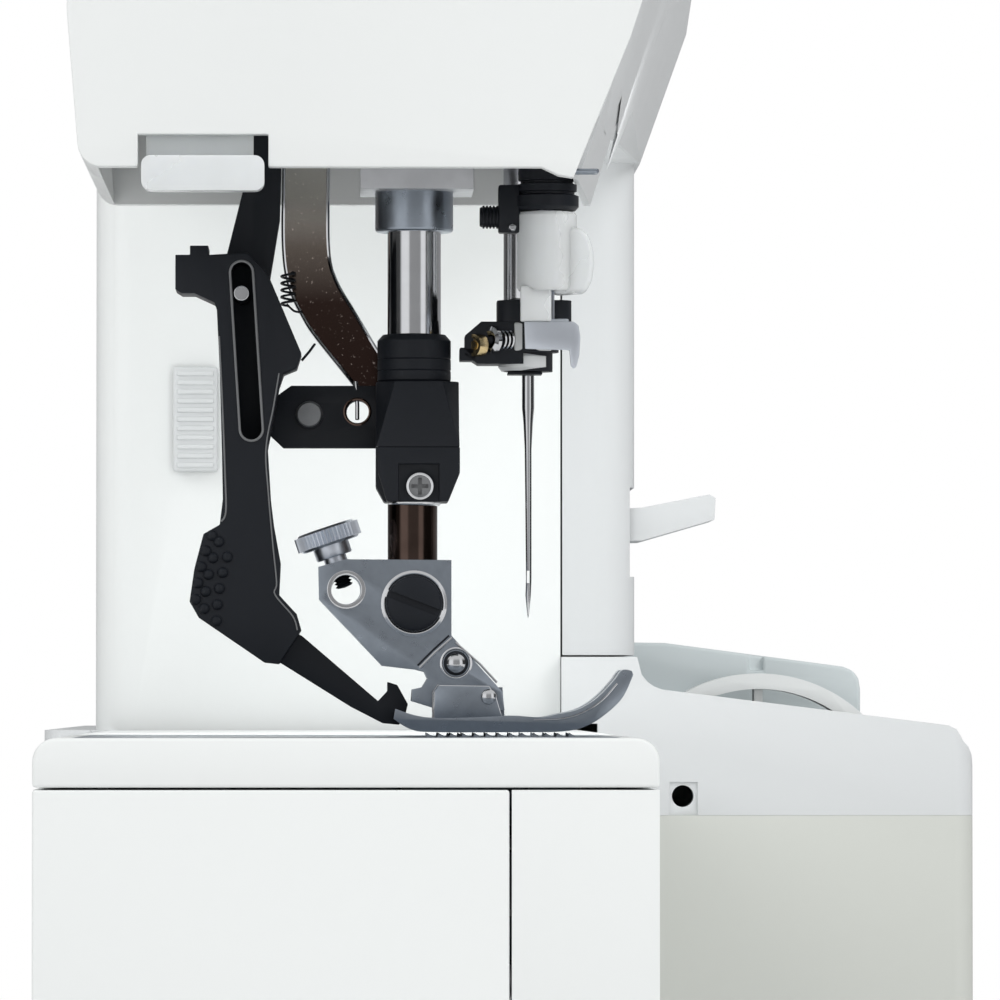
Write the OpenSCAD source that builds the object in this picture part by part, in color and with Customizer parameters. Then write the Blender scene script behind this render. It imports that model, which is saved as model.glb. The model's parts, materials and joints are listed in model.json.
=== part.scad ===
// Free-arm sewing machine with a top-feed arm behind the presser foot.
// Millimetres. +Z up, front (operator) = -Y, needle end = -X.
// Origin: centre of the overall box, on the table the feet stand on.

/* [Overall] */
// left end of the free arm
left_x = -210; // [-230:1:-190]
// right face of the handwheel
right_x = 210; // [190:1:230]
// depth of the base, front to back
base_depth = 145; // [130:1:160]
// height of the bed above the table
bed_z = 74; // [66:1:82]
// top of the arm above the table
arm_top_z = 285; // [260:1:300]

/* [Housing] */
// wall of the moulded covers
wall = 2.6; // [2:0.1:3.2]
// underside of the head
head_z = 145.6; // [140:0.1:150]
// underside of the arm
arm_z = 163; // [156:1:170]
// length of the head along the arm
head_len = 72; // [60:1:80]
// back face of the head and arm
arm_back_y = 61.7; // [55:0.1:68]
// front face of the arm
arm_front_y = -28; // [-34:0.5:-24]
// left face of the column
column_x = 15; // [5:1:25]
// back face of the column
column_back_y = 64.7; // [60:0.1:70]
// front face of the column
column_front_y = -19.8; // [-24:0.1:-16]
// seam between the back casing and the front panel
seam_y = -8; // [-10:0.5:-6]
// end cover's length along the arm
cover_len = 22; // [16:1:30]
// left face of the base
base_x = 12; // [5:1:20]
// gap between the right face of the base and the handwheel's face
base_right_gap = 14; // [12:1:20]
// height of the seam round the base
base_seam_z = 60.7; // [50:0.1:64]
// height of the deck at the column
deck_z = 80.3; // [78:0.1:84]

/* [Free arm] */
// front face of the free arm
free_front_y = -13.4; // [-16:0.1:-12]
// back face of the free arm
free_back_y = 65; // [60:0.5:68]
// underside of the free arm above the table
free_z = 20; // [12:1:28]
// depth of the top plate's edge
lip = 6.2; // [5:0.1:8]
// seam between the end panel and the bobbin door
door_y = 5.1; // [4:0.1:8]
// length of the bobbin door along the free arm
door_len = 70; // [60:1:90]

/* [Needle line] */
// needle line from the left end
needle_in = 40; // [36:1:46]
// needle's place front to back
needle_y = 2; // [1.5:0.1:2.5]
// radius of the needle bar
bar_r = 3.25; // [3:0.05:3.5]
// needle tip above the table at rest
needle_tip_z = 89.4; // [88:0.1:92]
// stroke of the needle bar
stroke = 31; // [28:0.5:31]
// radius of the presser bar
presser_r = 3.5; // [3:0.1:4]
// presser bar's place front to back
presser_y = 16.9; // [16.5:0.1:17.5]
// thickness of the ankle
ankle_w = 11; // [9:0.5:12]
// width of the presser sole
sole_w = 17; // [14:0.5:20]
// thickness of the top-feed arm
arm_w = 9; // [7:0.5:10]
// radius of the pin in the top-feed arm's slot
slot_pin_r = 1; // [0.8:0.1:1.1]

/* [Drive] */
// height of the main shaft
shaft_z = 235; // [225:1:245]
// radius of the main shaft
shaft_r = 6; // [5:0.5:7]
// height of the hook shaft
hook_z = 48; // [46:1:50]
// outer radius of the rotary hook
hook_r = 13.2; // [12:0.1:13.5]
// radius of the handwheel
wheel_r = 30; // [24:1:36]
// radius of the selector wheel in the base
selector_r = 25.4; // [24:0.2:25.8]
// height of the rubber feet
foot_h = 6; // [4:0.5:8]

/* [Fits] */
// running clearance of a shaft in its bore, on the radius
run = 0.05; // [0.02:0.01:0.1]
// gap between neighbouring covers
gap = 0.3; // [0.2:0.05:0.5]

/* [Hidden] */
$fn = 64;
nx = left_x + needle_in;
base_y = base_depth / 2;
base_rx = right_x - base_right_gap;
head_x = left_x + 2;
head_rx = head_x + head_len;
cover_x = head_x + cover_len;
hook_y = needle_y + 3;
door_x = left_x + door_len;
thr_x = nx - 8.3;
sole_z = bed_z + 0.56;
slot_top = [39.4, 134.3];
slot_low = [38.1, 113.9];
pin_at = [39.4, 131.6];
foot_pin_at = [7.2, 79.1];
link_pivot = [36, 160];
col_z = 85.4;
selector_y = -43.5;
selector_z = 57.7;
spool_at = [100, 35];
stud_z = 196;
take_up_at = [31, 227];
flare_x = -90;

// height of the sloping deck at y
function deck(y) = deck_z + (y - column_front_y + 4) * (deck_z - bed_z - 0.75) / (column_front_y + base_y - 8);

// ---- helpers ----

// extrudes a (Y, Z) outline along X
module ex(x0, x1) translate([x0, 0, 0]) rotate([90, 0, 90]) linear_extrude(x1 - x0) children();

// extrudes an (X, Z) outline along Y
module ey(y0, y1) translate([0, y1, 0]) rotate([90, 0, 0]) linear_extrude(y1 - y0) children();

// extrudes an (X, Y) outline along Z
module ez(z0, z1) translate([0, 0, z0]) linear_extrude(z1 - z0) children();

module box(x0, x1, y0, y1, z0, z1) translate([x0, y0, z0]) cube([x1 - x0, y1 - y0, z1 - z0]);

// cylinders along X, Y and Z
module cx(x0, x1, y, z, r) translate([x0, y, z]) rotate([0, 90, 0]) cylinder(h = x1 - x0, r = r);
module cy(x, y0, y1, z, r) translate([x, y1, z]) rotate([90, 0, 0]) cylinder(h = y1 - y0, r = r);
module cz(x, y, z0, z1, r) translate([x, y, z0]) cylinder(h = z1 - z0, r = r);

// rectangle from (a0, b0) to (a1, b1) with round corners
module rr(a0, a1, b0, b1, r) {
    translate([a0 + r, b0]) square([a1 - a0 - 2 * r, b1 - b0]);
    translate([a0, b0 + r]) square([a1 - a0, b1 - b0 - 2 * r]);
    for (a = [a0 + r, a1 - r], b = [b0 + r, b1 - r]) translate([a, b]) circle(r);
}

function unit(v) = v / norm(v);
function turn(p, a, b) = acos(max(-1, min(1, unit(a - p) * unit(b - p))));

// convex outline with a round corner of radius p[2] at each point p
module rp(pts) {
    n = len(pts);
    q = [for (p = pts) [p[0], p[1]]];
    cut = [for (i = [0:n - 1]) let (p = q[i], a = q[(i + n - 1) % n], b = q[(i + 1) % n],
        h = turn(p, a, b) / 2, d = pts[i][2] / tan(h))
        [p + unit(a - p) * d, p + unit(b - p) * d,
         p + unit(unit(a - p) + unit(b - p)) * pts[i][2] / sin(h)]];
    polygon([for (c = cut) each (c[0] == c[1] ? [c[0]] : [c[0], c[1]])]);
    for (i = [0:n - 1]) if (pts[i][2] > 0) translate(cut[i][2]) circle(pts[i][2]);
}

// ---- base ----

module base_lower_cover() color([0.92, 0.93, 0.94]) {
    base_tub();
    // posts and axle of the selector wheel
    for (x = [84, 103]) box(x, x + 3, selector_y - 4, selector_y + 4, foot_h + 1, base_seam_z - gap);
    cx(86, 104, selector_y, selector_z, 2);
}

module base_tub() difference() {
    ez(foot_h, base_seam_z) rr(base_x, base_rx, -base_y, base_y, 3.4);
    ez(foot_h + wall, base_seam_z + 1)
        rr(base_x + wall, base_rx - wall, -base_y + wall, base_y - wall, 0.8);
    // the free arm's root passes in here
    box(base_x - 1, base_x + wall + 1, free_front_y + wall, free_back_y - wall, free_z + wall,
        base_seam_z + 1);
    // accessory socket is in the upper cover; these are for the power socket and the switch
    box(base_rx - wall - 1, base_rx + 1, 22 - gap, 46 + gap, 24 - gap, 46 + gap);
    box(base_rx - wall - 1, base_rx + 1, -6 - gap, 10 + gap, 26 - gap, 44 + gap);
}

module upper_outline(t) polygon([[base_y - t, base_seam_z - 1], [base_y - t, bed_z - t],
    [seam_y - t - 0.1, bed_z - t],
    [seam_y - t - 0.1, col_z - t], [column_front_y - 0.1 + t, col_z - t],
        [column_front_y - 0.8 + 0.8 * t, deck_z + 2.3 - t],
    [column_front_y - 1.7 + 0.6 * t, deck_z + 1.2 - t], [column_front_y - 2.7 + t / 2, deck_z + 0.5 - t],
    [column_front_y - 4 + t / 2, deck_z - t], [-base_y + 4, bed_z + 0.75 - t], [-base_y + 2.7 + t / 8,
        bed_z + 0.1 - t],
    [-base_y + 2.1 + t / 4, bed_z - 0.9 - t], [-base_y + 1.6 + t / 2, bed_z - 1.8 - t],
    [-base_y + 0.8 + 0.8 * t, bed_z - 2.6 - t], [-base_y + 0.2 + t, bed_z - 3.9 - t],
    [-base_y + t, bed_z - 6 - t], [-base_y + t, base_seam_z - 1]]);

module base_upper_cover() color([0.80, 0.82, 0.85]) difference() {
    intersection() {
        ex(base_x, base_rx) upper_outline(0);
        ez(base_seam_z, 100) rr(base_x, base_rx, -base_y, base_y, 3.4);
    }
    intersection() {
        ex(base_x + wall, base_rx - wall) upper_outline(wall);
        ez(base_seam_z - 1, 100) rr(base_x + wall, base_rx - wall, -base_y + wall, base_y - wall, 0.8);
    }
    // the free arm's root
    box(base_x - 1, base_x + wall + 1, free_front_y - gap, free_back_y + gap, base_seam_z - 1, bed_z + 1);
    // way through into the column
    box(column_x + 6, base_rx - 6, column_front_y + 4, column_back_y - 8, bed_z - 5, col_z + 1);
    // selector wheel's slot
    box(89, 101, selector_y - 22.6, selector_y + 22.6, base_seam_z - 1, 90);
    // accessory socket in the left face
    cx(base_x - 1, base_x + wall + 1, -27, base_seam_z + 3, 1.7);
    box(base_x - 1, base_x + 0.4, -29.3, -24.9, base_seam_z - 1, base_seam_z + 5.2);
}

module rubber_feet() color([0.12, 0.12, 0.13]) for (x = [base_x + 12, base_rx - 20], y = [-54, 54])
    cz(x, y, 0, foot_h, 9);

// ---- free arm ----

module free_arm_casing() color([0.92, 0.93, 0.94]) {
    free_arm_tray();
    // hinge pin of the bobbin door
    cz(door_x, free_front_y + 2.4, free_z + 1.6, bed_z - lip - 1, 1);
}

module free_arm_tray() difference() {
    ex(left_x + 3.6, base_x - gap) rr(free_front_y, free_back_y, free_z, bed_z + 10, 4);
    ex(left_x + 3, base_x + 1) rr(free_front_y + wall, free_back_y - wall, free_z + wall, bed_z + 20, 2);
    box(left_x, base_x + 1, free_front_y - 1, free_back_y + 1, bed_z - lip - gap, bed_z + 12);
    box(left_x, door_x + 3.7, free_front_y - 1, free_front_y + wall + 0.1, free_z + 3, bed_z);
}

module free_arm_top_cover() color([0.92, 0.93, 0.94]) difference() {
    ex(left_x, base_x - gap) intersection() {
        rr(free_front_y, free_back_y, bed_z - 40, bed_z, 3);
        translate([free_front_y - 1, bed_z - lip]) square([90, lip + 1]);
    }
    difference() {
        box(left_x + wall, base_x + 1, free_front_y + wall, free_back_y - wall, bed_z - lip - 1,
            bed_z - 2.4);
        // ledge that holds the needle plate
        box(left_x + 2, left_x + 88, free_front_y + 1, free_back_y - 1, bed_z - 4, bed_z);
    }
    box(left_x + 4, left_x + 84, free_front_y + 4.4, free_back_y - 4.4, bed_z - 2.5, bed_z + 1);
    box(left_x + 7, left_x + 81, free_front_y + 6.8, free_back_y - 7.4, bed_z - lip - 1, bed_z + 1);
}

module bobbin_door() color([0.92, 0.93, 0.94]) difference() {
    union() {
        box(left_x, left_x + 3.2, free_front_y, door_y, free_z + 3.3, bed_z - lip - gap);
        box(left_x, door_x, free_front_y, free_front_y + wall, free_z + 3.3, bed_z - lip - gap);
        cz(door_x, free_front_y + 2.4, free_z + 5, bed_z - lip - gap, 2.4);
    }
    cz(door_x, free_front_y + 2.4, free_z, bed_z, 1 + run);
}

module free_arm_end_panel() color([0.92, 0.93, 0.94]) difference() {
    ex(left_x, left_x + 3.4) intersection() {
        rr(free_front_y, free_back_y, free_z, bed_z + 10, 4);
        union() {
            translate([door_y + gap, free_z]) square([80, bed_z - lip - gap - free_z]);
            translate([free_front_y, free_z]) square([80, 3]);
        }
    }
}

module needle_plate() color([0.74, 0.76, 0.78]) difference() {
    box(left_x + 4 + gap, left_x + 84 - gap, free_front_y + 4.4 + gap, free_back_y - 4.4 - gap,
        bed_z - 2.5, bed_z);
    for (s = [-1, 1]) ez(bed_z - 4, bed_z + 1) rr(nx + s * 6.2 - 2.2, nx + s * 6.2 + 2.2, -7.5, 19, 1.4);
    ez(bed_z - 4, bed_z + 1) rr(nx - 2.6, nx + 2.6, 8, 19, 1.4);
    ez(bed_z - 4, bed_z + 1) rr(nx - 4.4, nx + 4.4, needle_y - 1.2, needle_y + 1.2, 1.1);
    for (y = [free_front_y + 9, free_back_y - 9]) cz(left_x + 76, y, bed_z - 4, bed_z + 1, 2.1);
}

// one saw-toothed strip of the feed dog
module teeth(x0, x1, y0, y1) {
    n = round((y1 - y0) / 1.5);
    ex(x0, x1) polygon(concat([[y1, bed_z - 5], [y0, bed_z - 5]],
        [for (i = [0:n - 1], k = [0, 1]) [y0 + (i + k * 0.9) * (y1 - y0) / n,
            bed_z + (k == 0 ? -0.3 : 0.5)]]));
}

module feed_dog() color([0.62, 0.64, 0.67]) {
    for (s = [-1, 1]) teeth(nx + s * 6.2 - 1.6, nx + s * 6.2 + 1.6, -4.5, 15.5);
    teeth(nx - 1.6, nx + 1.6, 10, 15.5);
    difference() {
        box(nx - 7.8, nx + 7.8, -4.5, 24, bed_z - 7, bed_z - 5);
        box(nx - 4.6, nx + 4.6, needle_y - 3.6, needle_y + 3.6, bed_z - 8, bed_z - 4);
    }
}

module feed_carrier() color([0.55, 0.57, 0.6]) {
    difference() {
        box(nx - 12, nx + 26, 27, 42, bed_z - 9.5, bed_z - 7);
        box(nx - 9, nx + 9, 26, 31, bed_z - 10, bed_z - 6);
    }
    box(nx - 7, nx + 7, 31, 42, bed_z - 22, bed_z - 9.5);
    box(nx - 12, nx - 8.4, -4, 27, bed_z - 9.5, bed_z - 5);
    box(nx + 8.4, nx + 12, -4, 27, bed_z - 9.5, bed_z - 5);
}

module rotary_hook() color([0.7, 0.72, 0.74]) difference() {
    union() {
        cx(nx - 19, nx - 5, hook_y, hook_z, hook_r);
        cx(nx - 5, nx - 4.6, hook_y, hook_z, 9);
    }
    cx(nx - 20, nx - 6.8, hook_y, hook_z, hook_r - 1.6);
    cx(nx - 8, nx - 4, hook_y, hook_z, 4);
    // thread gate
    rotate([0, 0, 0]) box(nx - 20, nx - 9, hook_y + 3, hook_y + 8, hook_z + 6, hook_z + 20);
}

module bobbin_case() color([0.78, 0.79, 0.8]) difference() {
    cx(nx - 18.5, nx - 7.2, hook_y, hook_z, hook_r - 1.8);
    cx(nx - 17.4, nx - 6, hook_y, hook_z, hook_r - 2.8);
    cx(nx - 19, nx - 16, hook_y, hook_z, 3);
}

module bobbin() color([0.85, 0.87, 0.9]) difference() {
    union() {
        for (x = [nx - 17, nx - 8.8]) cx(x, x + 1, hook_y, hook_z, hook_r - 3.3);
        cx(nx - 16.5, nx - 8, hook_y, hook_z, 4.5);
    }
    cx(nx - 18, nx - 7, hook_y, hook_z, 3);
}

module hook_shaft() color([0.6, 0.62, 0.65]) cx(nx - 6.8, 140, hook_y, hook_z, 4);

module hook_pulley() color([0.15, 0.15, 0.17]) difference() {
    union() {
        cx(120, 132, hook_y, hook_z, 10);
        for (x = [119, 132]) cx(x, x + 1, hook_y, hook_z, 12);
    }
    cx(118, 134, hook_y, hook_z, 4);
}

// ---- housing ----

module arm_outline(t) rp([[arm_back_y - t, arm_z + t, 3], [arm_back_y - t, arm_top_z - t, 22 - t],
    [arm_front_y + t, arm_top_z - t, 20 - t], [arm_front_y + t, arm_z + 20.4, 0], [arm_front_y + 7.3 + t,
        arm_z + t, 0]]);

module head_outline(t) rp([[arm_back_y - 2.4 - t, head_z - (t > 0 ? 5 : 0), t > 0 ? 0 : 3],
    [arm_back_y - 0.8 - t, 165, 0],
    [arm_back_y - t, arm_top_z - t, 22 - t],
    [arm_front_y + 4 + t, arm_top_z - t, 20 - t], [arm_front_y + 4 + t, 205, 0], [-9.9 + t, 162.1, 0],
    [-3.2 + t - (t > 0 ? 2 : 0), head_z - (t > 0 ? 5 : 0), 0]]);

// outline of the front panel part of the way (f) from the head to the arm, with its underside at z
module flare_outline(f, z, t) rp([[arm_back_y - t, z - (t > 0 ? 5 : 0), 0], [arm_back_y - t,
    arm_top_z - t, 22 - t],
    [arm_front_y + 4 - 4 * f + t, arm_top_z - t, 20 - t], [arm_front_y + 4 - 4 * f + t, 205 - 21.6 * f, 0],
    [-9.9 - 10.8 * f + t, 162.3, 0], [-3.2 - 17.5 * f + t - (t > 0 ? 2 : 0), min(z,
        162) - (t > 0 ? 5 : 0), 0]]);

// the front panel's volume, or with t > 0 the space behind it
module flare(t) {
    hull() {
        ex(cover_x - (t > 0 ? 1 : 0), cover_x + 0.1) head_outline(t);
        ex(head_rx - 0.1, head_rx) flare_outline(0.24, head_z, t);
    }
    hull() {
        ex(head_rx - 0.1, head_rx) flare_outline(0.24, head_z, t);
        ex(flare_x, flare_x + 0.1) flare_outline(0.47, 159, t);
    }
    hull() {
        ex(flare_x, flare_x + 0.1) flare_outline(0.47, 159, t);
        ex(column_x + 5, column_x + 5.1) arm_outline(t);
    }
    ex(column_x + 5, base_rx - t) arm_outline(t);
    ez(bed_z - (t > 0 ? 1 : 0), arm_z + 6) rr(column_x + t, base_rx - t, column_front_y + t,
        column_back_y - t, 6 - t / 2);
}

// the whole housing, or with t > 0 the space inside its walls
module housing(t) {
    ex(head_rx - 1 - 2 * t, base_rx - t) arm_outline(t);
    ex(cover_x - (t > 0 ? 1 : 0), head_rx - t) head_outline(t);
    ez(bed_z - (t > 0 ? 1 : 0), arm_z + 6) rr(column_x + t, base_rx - t, column_front_y + t,
        column_back_y - t, 6 - t / 2);
}

module rear_casing() color([0.92, 0.93, 0.94]) difference() {
    union() {
        difference() {
            housing(0);
            housing(wall);
            box(left_x - 1, right_x, -200, seam_y, 0, 400);
        }
        // lugs for the carrying handle
        for (x = [-96, 21]) ex(x, x + 5) rp([[4, arm_top_z - 1, 0], [4, arm_top_z + 6, 3], [13,
            arm_top_z + 6, 3], [13, arm_top_z - 1, 0]]);
        // well of the spool pin
        intersection() {
            housing(0);
            box(80, 120, 20, 50, arm_top_z - 24, arm_top_z);
        }
    }
    cx(-97, 27, 8.5, arm_top_z + 2, 2 + run);
    box(83, 117, 23, 47, arm_top_z - 21.4, arm_top_z + 2);
    // tension dial slot
    box(-116, -108, 2, 38, arm_top_z - 10, arm_top_z + 2);
    // shaft's way out to the handwheel
    cx(base_rx - 5, base_rx + 1, needle_y, shaft_z, shaft_r + 1);
    // slot for the feed-drop slide
    box(column_x - 1, column_x + wall + 1, 47, 51, 115.8, 129.4);
    // room for the front panel's lower corner
    box(cover_x - 1, head_rx - wall, -9, -2.9, head_z - 1, 165);
}

module front_panel() color([0.80, 0.82, 0.85]) difference() {
    intersection() {
        difference() {
            flare(0);
            flare(wall);
        }
        union() {
            box(cover_x, column_x + 5, -100, seam_y - gap, head_z, 400);
            box(cover_x, head_rx - wall, -8.4, -2.9, head_z, 165);
            box(column_x - 1, base_rx, -100, seam_y - gap, col_z + gap, 400);
        }
    }
    // take-up lever slot
    box(nx + 13, nx + 19, -60, -10, 200, 268);
    // reverse lever slot
    box(18, 40, column_front_y - 1, column_front_y + wall + 1, 98, 112);
    // lower edge of the head stays open
    box(cover_x + wall, head_rx - wall, -4, 0, head_z - 1, head_z + 10);
}

module face_cover() color([0.92, 0.93, 0.94]) difference() {
    union() {
        ex(head_x, cover_x - gap) head_outline(0);
        // lip at the lower front corner
        ex(head_x, head_x + wall) polygon([[-3.6, head_z + 1], [-2.7, head_z - 1.3], [-0.8, head_z - 1],
            [1.5, head_z + 0.1], [1.5, head_z + 1]]);
    }
    ex(head_x + wall, cover_x + 1) head_outline(wall);
    // threader handle's notch
    box(head_x - 1, head_x + wall + 1, 35.6, 52, head_z - 1, head_z + 4.1);
}

module arm_frame() color([0.66, 0.67, 0.69]) difference() {
    union() {
        // beam along the arm and post down to the base
        box(-200, 174, 42, 54, 215, 245);
        box(118, 174, 34, 54, foot_h + wall, 250);
        box(20, 176, -34, 54, foot_h + wall, foot_h + wall + 13.4);
        // free-arm beam
        box(left_x + 60, 174, 44, 56, 28, 46);
        // bearings of the main shaft
        for (x = [-130, 148]) {
            box(x, x + 12, -8, 43, shaft_z - 12, shaft_z + 12);
        }
        // bearings of the hook shaft
        for (x = [-140, 60, 145]) box(x, x + 8, hook_y - 8, 45, hook_z - 8, hook_z + 8);
        // presser bar guides
        for (z = [156, 234]) box(nx - 8, nx + 4.5, presser_y - 6.4, 43, z, z + 11);
        box(nx - 8, nx + 8, 9.2, 24, head_z - 0.6, 151.5);
        box(nx - 8, nx + 8, presser_y - 6.4, 24, 151, 168);
        // bracket and pin of the take-up lever
        box(nx + 17.5, nx + 22, 25.5, 43, 222, 232);
        cx(nx + 13.9, nx + 18, take_up_at[0], take_up_at[1], 2.5);
        box(nx - 8, nx - 2, 38, 54, 156, 216);
        cx(nx + 4, nx + 8.6, link_pivot[0], link_pivot[1], 1.5);
        // end plate for the swing rod
        box(-200, -196, -6, 43, 222, 238);
        cx(-197, nx + 3, needle_y, 229, 2.5);
    }
    for (x = [-130, 148]) cx(x - 1, x + 13, needle_y, shaft_z, shaft_r + run);
    cx(-141, 154, hook_y, hook_z, 4 + run);
    cz(nx, presser_y, 140, 246, presser_r + run);
    cz(nx, presser_y, 140, 152, 5.1);
}

module carrying_handle() color([0.80, 0.82, 0.85]) {
    difference() {
        box(-90.7, 20.7, 7.3, 40, arm_top_z + 0.6, arm_top_z + 5.4);
        box(-80, 10, -1, 28, arm_top_z, arm_top_z + 6);
    }
    for (x = [-95.7, 20.5]) cx(x, x + 5, 8.5, arm_top_z + 2, 2);
}

module handwheel() color([0.80, 0.82, 0.85]) difference() {
    union() {
        cx(base_rx + 2, right_x, needle_y, shaft_z, wheel_r);
        cx(base_rx + 1, base_rx + 3, needle_y, shaft_z, 12);
    }
    cx(base_rx, base_rx + 9, needle_y, shaft_z, shaft_r);
    translate([right_x - 2.5, needle_y, shaft_z]) rotate([0, 90, 0]) rotate_extrude() translate([16,
        0]) square([9, 5]);
}

module main_shaft() color([0.6, 0.62, 0.65]) cx(-143, base_rx + 9, needle_y, shaft_z, shaft_r);

module crank() color([0.55, 0.57, 0.6]) difference() {
    union() {
        cx(-151, -143.2, needle_y, shaft_z, 13);
        cx(-151, -143.2, needle_y, shaft_z + stroke / 2, 7);
        cx(-152.3, -151, needle_y, shaft_z + stroke / 2, 3);
        cx(-143.3, -137, needle_y, shaft_z, 10);
    }
    cx(-143, -136, needle_y, shaft_z, shaft_r);
}

module connecting_link() color([0.6, 0.62, 0.65]) difference() {
    union() {
        ex(nx + 7, nx + 10.5) union() {
            translate([needle_y, shaft_z + stroke / 2]) circle(6);
            translate([needle_y, stud_z]) circle(5.5);
            translate([needle_y - 3, stud_z]) square([6, shaft_z + stroke / 2 - stud_z]);
        }
    }
    cx(nx, nx + 12, needle_y, stud_z, 2.5 + run);
    cx(nx, nx + 12, needle_y, shaft_z + stroke / 2, 3.2);
}

module drive_pulleys() color([0.15, 0.15, 0.17]) difference() {
    for (p = [[100, 18], [120, 20]]) {
        cx(p[0], p[0] + 12, needle_y, shaft_z, p[1]);
        for (x = [p[0] - 1, p[0] + 12]) cx(x, x + 1, needle_y, shaft_z, p[1] + 2);
    }
    cx(98, 134, needle_y, shaft_z, shaft_r);
}

module motor() color([0.2, 0.2, 0.22]) {
    cx(34, 92, 20, 120, 23);
    cx(92, 97, 20, 120, 9);
    box(34, 92, 20, column_back_y - wall - gap, 105, 135);
}

module motor_pulley() color([0.6, 0.62, 0.65]) {
    cx(98, 114, 20, 120, 6);
    for (x = [99, 112]) cx(x, x + 1, 20, 120, 8);
}

// belt loop round two wheels, each [y, z, r]
module belt(x0, x1, a, b) ex(x0, x1) difference() {
    hull() for (w = [a, b]) translate([w[0], w[1]]) circle(w[2] + 2);
    hull() for (w = [a, b]) translate([w[0], w[1]]) circle(w[2] + 0.3);
}

module drive_belts() color([0.1, 0.1, 0.1]) {
    belt(100.5, 111.5, [needle_y, shaft_z, 18], [20, 120, 6]);
    belt(120.5, 131.5, [needle_y, shaft_z, 20], [hook_y, hook_z, 10]);
}

// ---- needle bar ----

module needle_bar_frame() color([0.58, 0.6, 0.63]) difference() {
    union() {
        box(nx - 5, nx + 5, needle_y + 5, needle_y + 8.2, 152, 233);
        for (z = [152, 207]) box(nx - 5.6, nx + 5.6, needle_y - 5, needle_y + 8.2, z, z + 10);
        box(nx - 5.6, nx + 2, needle_y - 5, needle_y + 8.2, 224.5, 234);
        // arm that carries the threader
        box(thr_x - 4.6, nx - 5, needle_y - 6, needle_y + 8.2, 155, 161);
        box(thr_x - 4.6, nx - 5, needle_y - 6, needle_y + 8.2, 200, 206);
    }
    cz(nx, needle_y, 150, 218, bar_r + run);
    cz(thr_x, needle_y - 2.2, 150, 218, 2 + run);
    cx(-210, -150, needle_y, 229, 2.5 + run);
}

module needle_bar() color([0.75, 0.76, 0.78]) {
    cz(nx, needle_y, 130.8, 220, bar_r);
    cx(nx + 2, nx + 11, needle_y, stud_z, 2.5);
}

module needle_clamp() color([0.08, 0.085, 0.1]) difference() {
    union() {
        ez(128, 130.8) rr(nx - 4.1, nx + 4.1, -3.6, 6.1, 2);
        ex(nx - 3.6, nx + 3.2) polygon([[2.7, 122.5], [8.6, 122.5], [10.3, 123.6], [10.3, 126.2], [8.2,
            128], [2.7, 128]]);
        cz(nx, needle_y, 124.1, 128, 4);
        // hub that holds the needle
        cz(nx, needle_y, 121.6, 124.1, 3.2);
    }
    cz(nx, needle_y, 121, 127, 0.85);
}

module needle() color([0.8, 0.81, 0.83]) {
    cz(nx, needle_y, 118, 126.5, 0.8);
    translate([nx, needle_y, 114]) cylinder(h = 4, r1 = 0.45, r2 = 0.8);
    cz(nx, needle_y, needle_tip_z + 4, 114, 0.45);
    translate([nx, needle_y, needle_tip_z]) cylinder(h = 4, r1 = 0.08, r2 = 0.45);
}

module clamp_screws() color([0.75, 0.62, 0.35]) {
    cx(nx - 4.4, nx - 3.6, 8.4, 124.8, 0.95);
    cx(nx - 4.5, nx - 3.6, 5.6, 125.1, 1.25);
}

// ---- threader ----

module threader_sleeve() color([0.9, 0.91, 0.92]) difference() {
    union() {
        cz(thr_x, -0.2, 131.7, 142, 3.9);
        cx(thr_x - 2.6, thr_x + 2.6, -2.6, 136.1, 4.2);
        box(thr_x - 1.6, thr_x + 1.6, -0.9, 3, 128, 132);
    }
    cz(thr_x, needle_y - 2.2, 127, 143, 2);
}

module threader_hook() color([0.7, 0.71, 0.73]) {
    cz(thr_x, needle_y - 2.2, 126, 222, 2);
    difference() {
        ex(thr_x - 3.2, thr_x - 2.2) polygon([[-4.8, 124.3], [-4.2, 122.4], [-3.2, 122], [-3.2, 124.3],
            [2.65, 124.3], [2.65, 128], [-4.8, 128]]);
    }
    box(thr_x - 3, thr_x + 1, -3, 2.4, 126.2, 128);
}

module threader_collars() color([0.08, 0.085, 0.1]) difference() {
    union() {
        cz(thr_x, needle_y - 2.2, 142.1, 144.2, 4.2);
        cz(thr_x, needle_y - 2.2, 144.2, 147.5, 3.5);
        box(thr_x - 1.2, thr_x + 1.2, 2.8, 5.5, 142.2, 143.4);
        cy(thr_x, 5.2, 8.4, 142.1, 1.35);
    }
    cz(thr_x, needle_y - 2.2, 141, 150, 2);
}

module threader_handle() color([0.9, 0.91, 0.92]) {
    ex(left_x, head_x + 1.5) rr(36.1, 51.5, head_z - 3.1, head_z + 1.3, 1.2);
    box(head_x + wall + 0.4, head_x + wall + 2.4, 37.5, 51, head_z + 1, head_z + 60);
    box(head_x + 1, head_x + wall + 1, 37.5, 51, head_z - 2.5, head_z + 1.2);
    box(head_x + wall + 0.4, head_x + wall + 2.4, 37.5, 51, head_z - 2.5, head_z + 1.2);
}

// ---- presser bar and foot ----

module presser_bar() color([0.78, 0.79, 0.81]) cz(nx, presser_y, 104, 250, presser_r);

module presser_bush() color([0.6, 0.62, 0.65]) difference() {
    cz(nx, presser_y, 139.8, 152, 5.1);
    cz(nx, presser_y, 139, 153, presser_r + run);
}

module presser_block() color([0.08, 0.085, 0.1]) difference() {
    union() {
        ex(nx - 5.5, nx + 5.4) polygon([[21.9, 120.4], [11.1, 120.4], [11, 108.2], [12.3, 104.4], [20.8, 104.4],
            [21.9, 106.5]]);
        cz(nx, presser_y, 120.3, 126.5, 4.8);
    }
    cz(nx, presser_y, 103, 127, presser_r);
    cx(nx - 6, nx - 4.6, 16, 106.7, 2.4);
}

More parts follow.
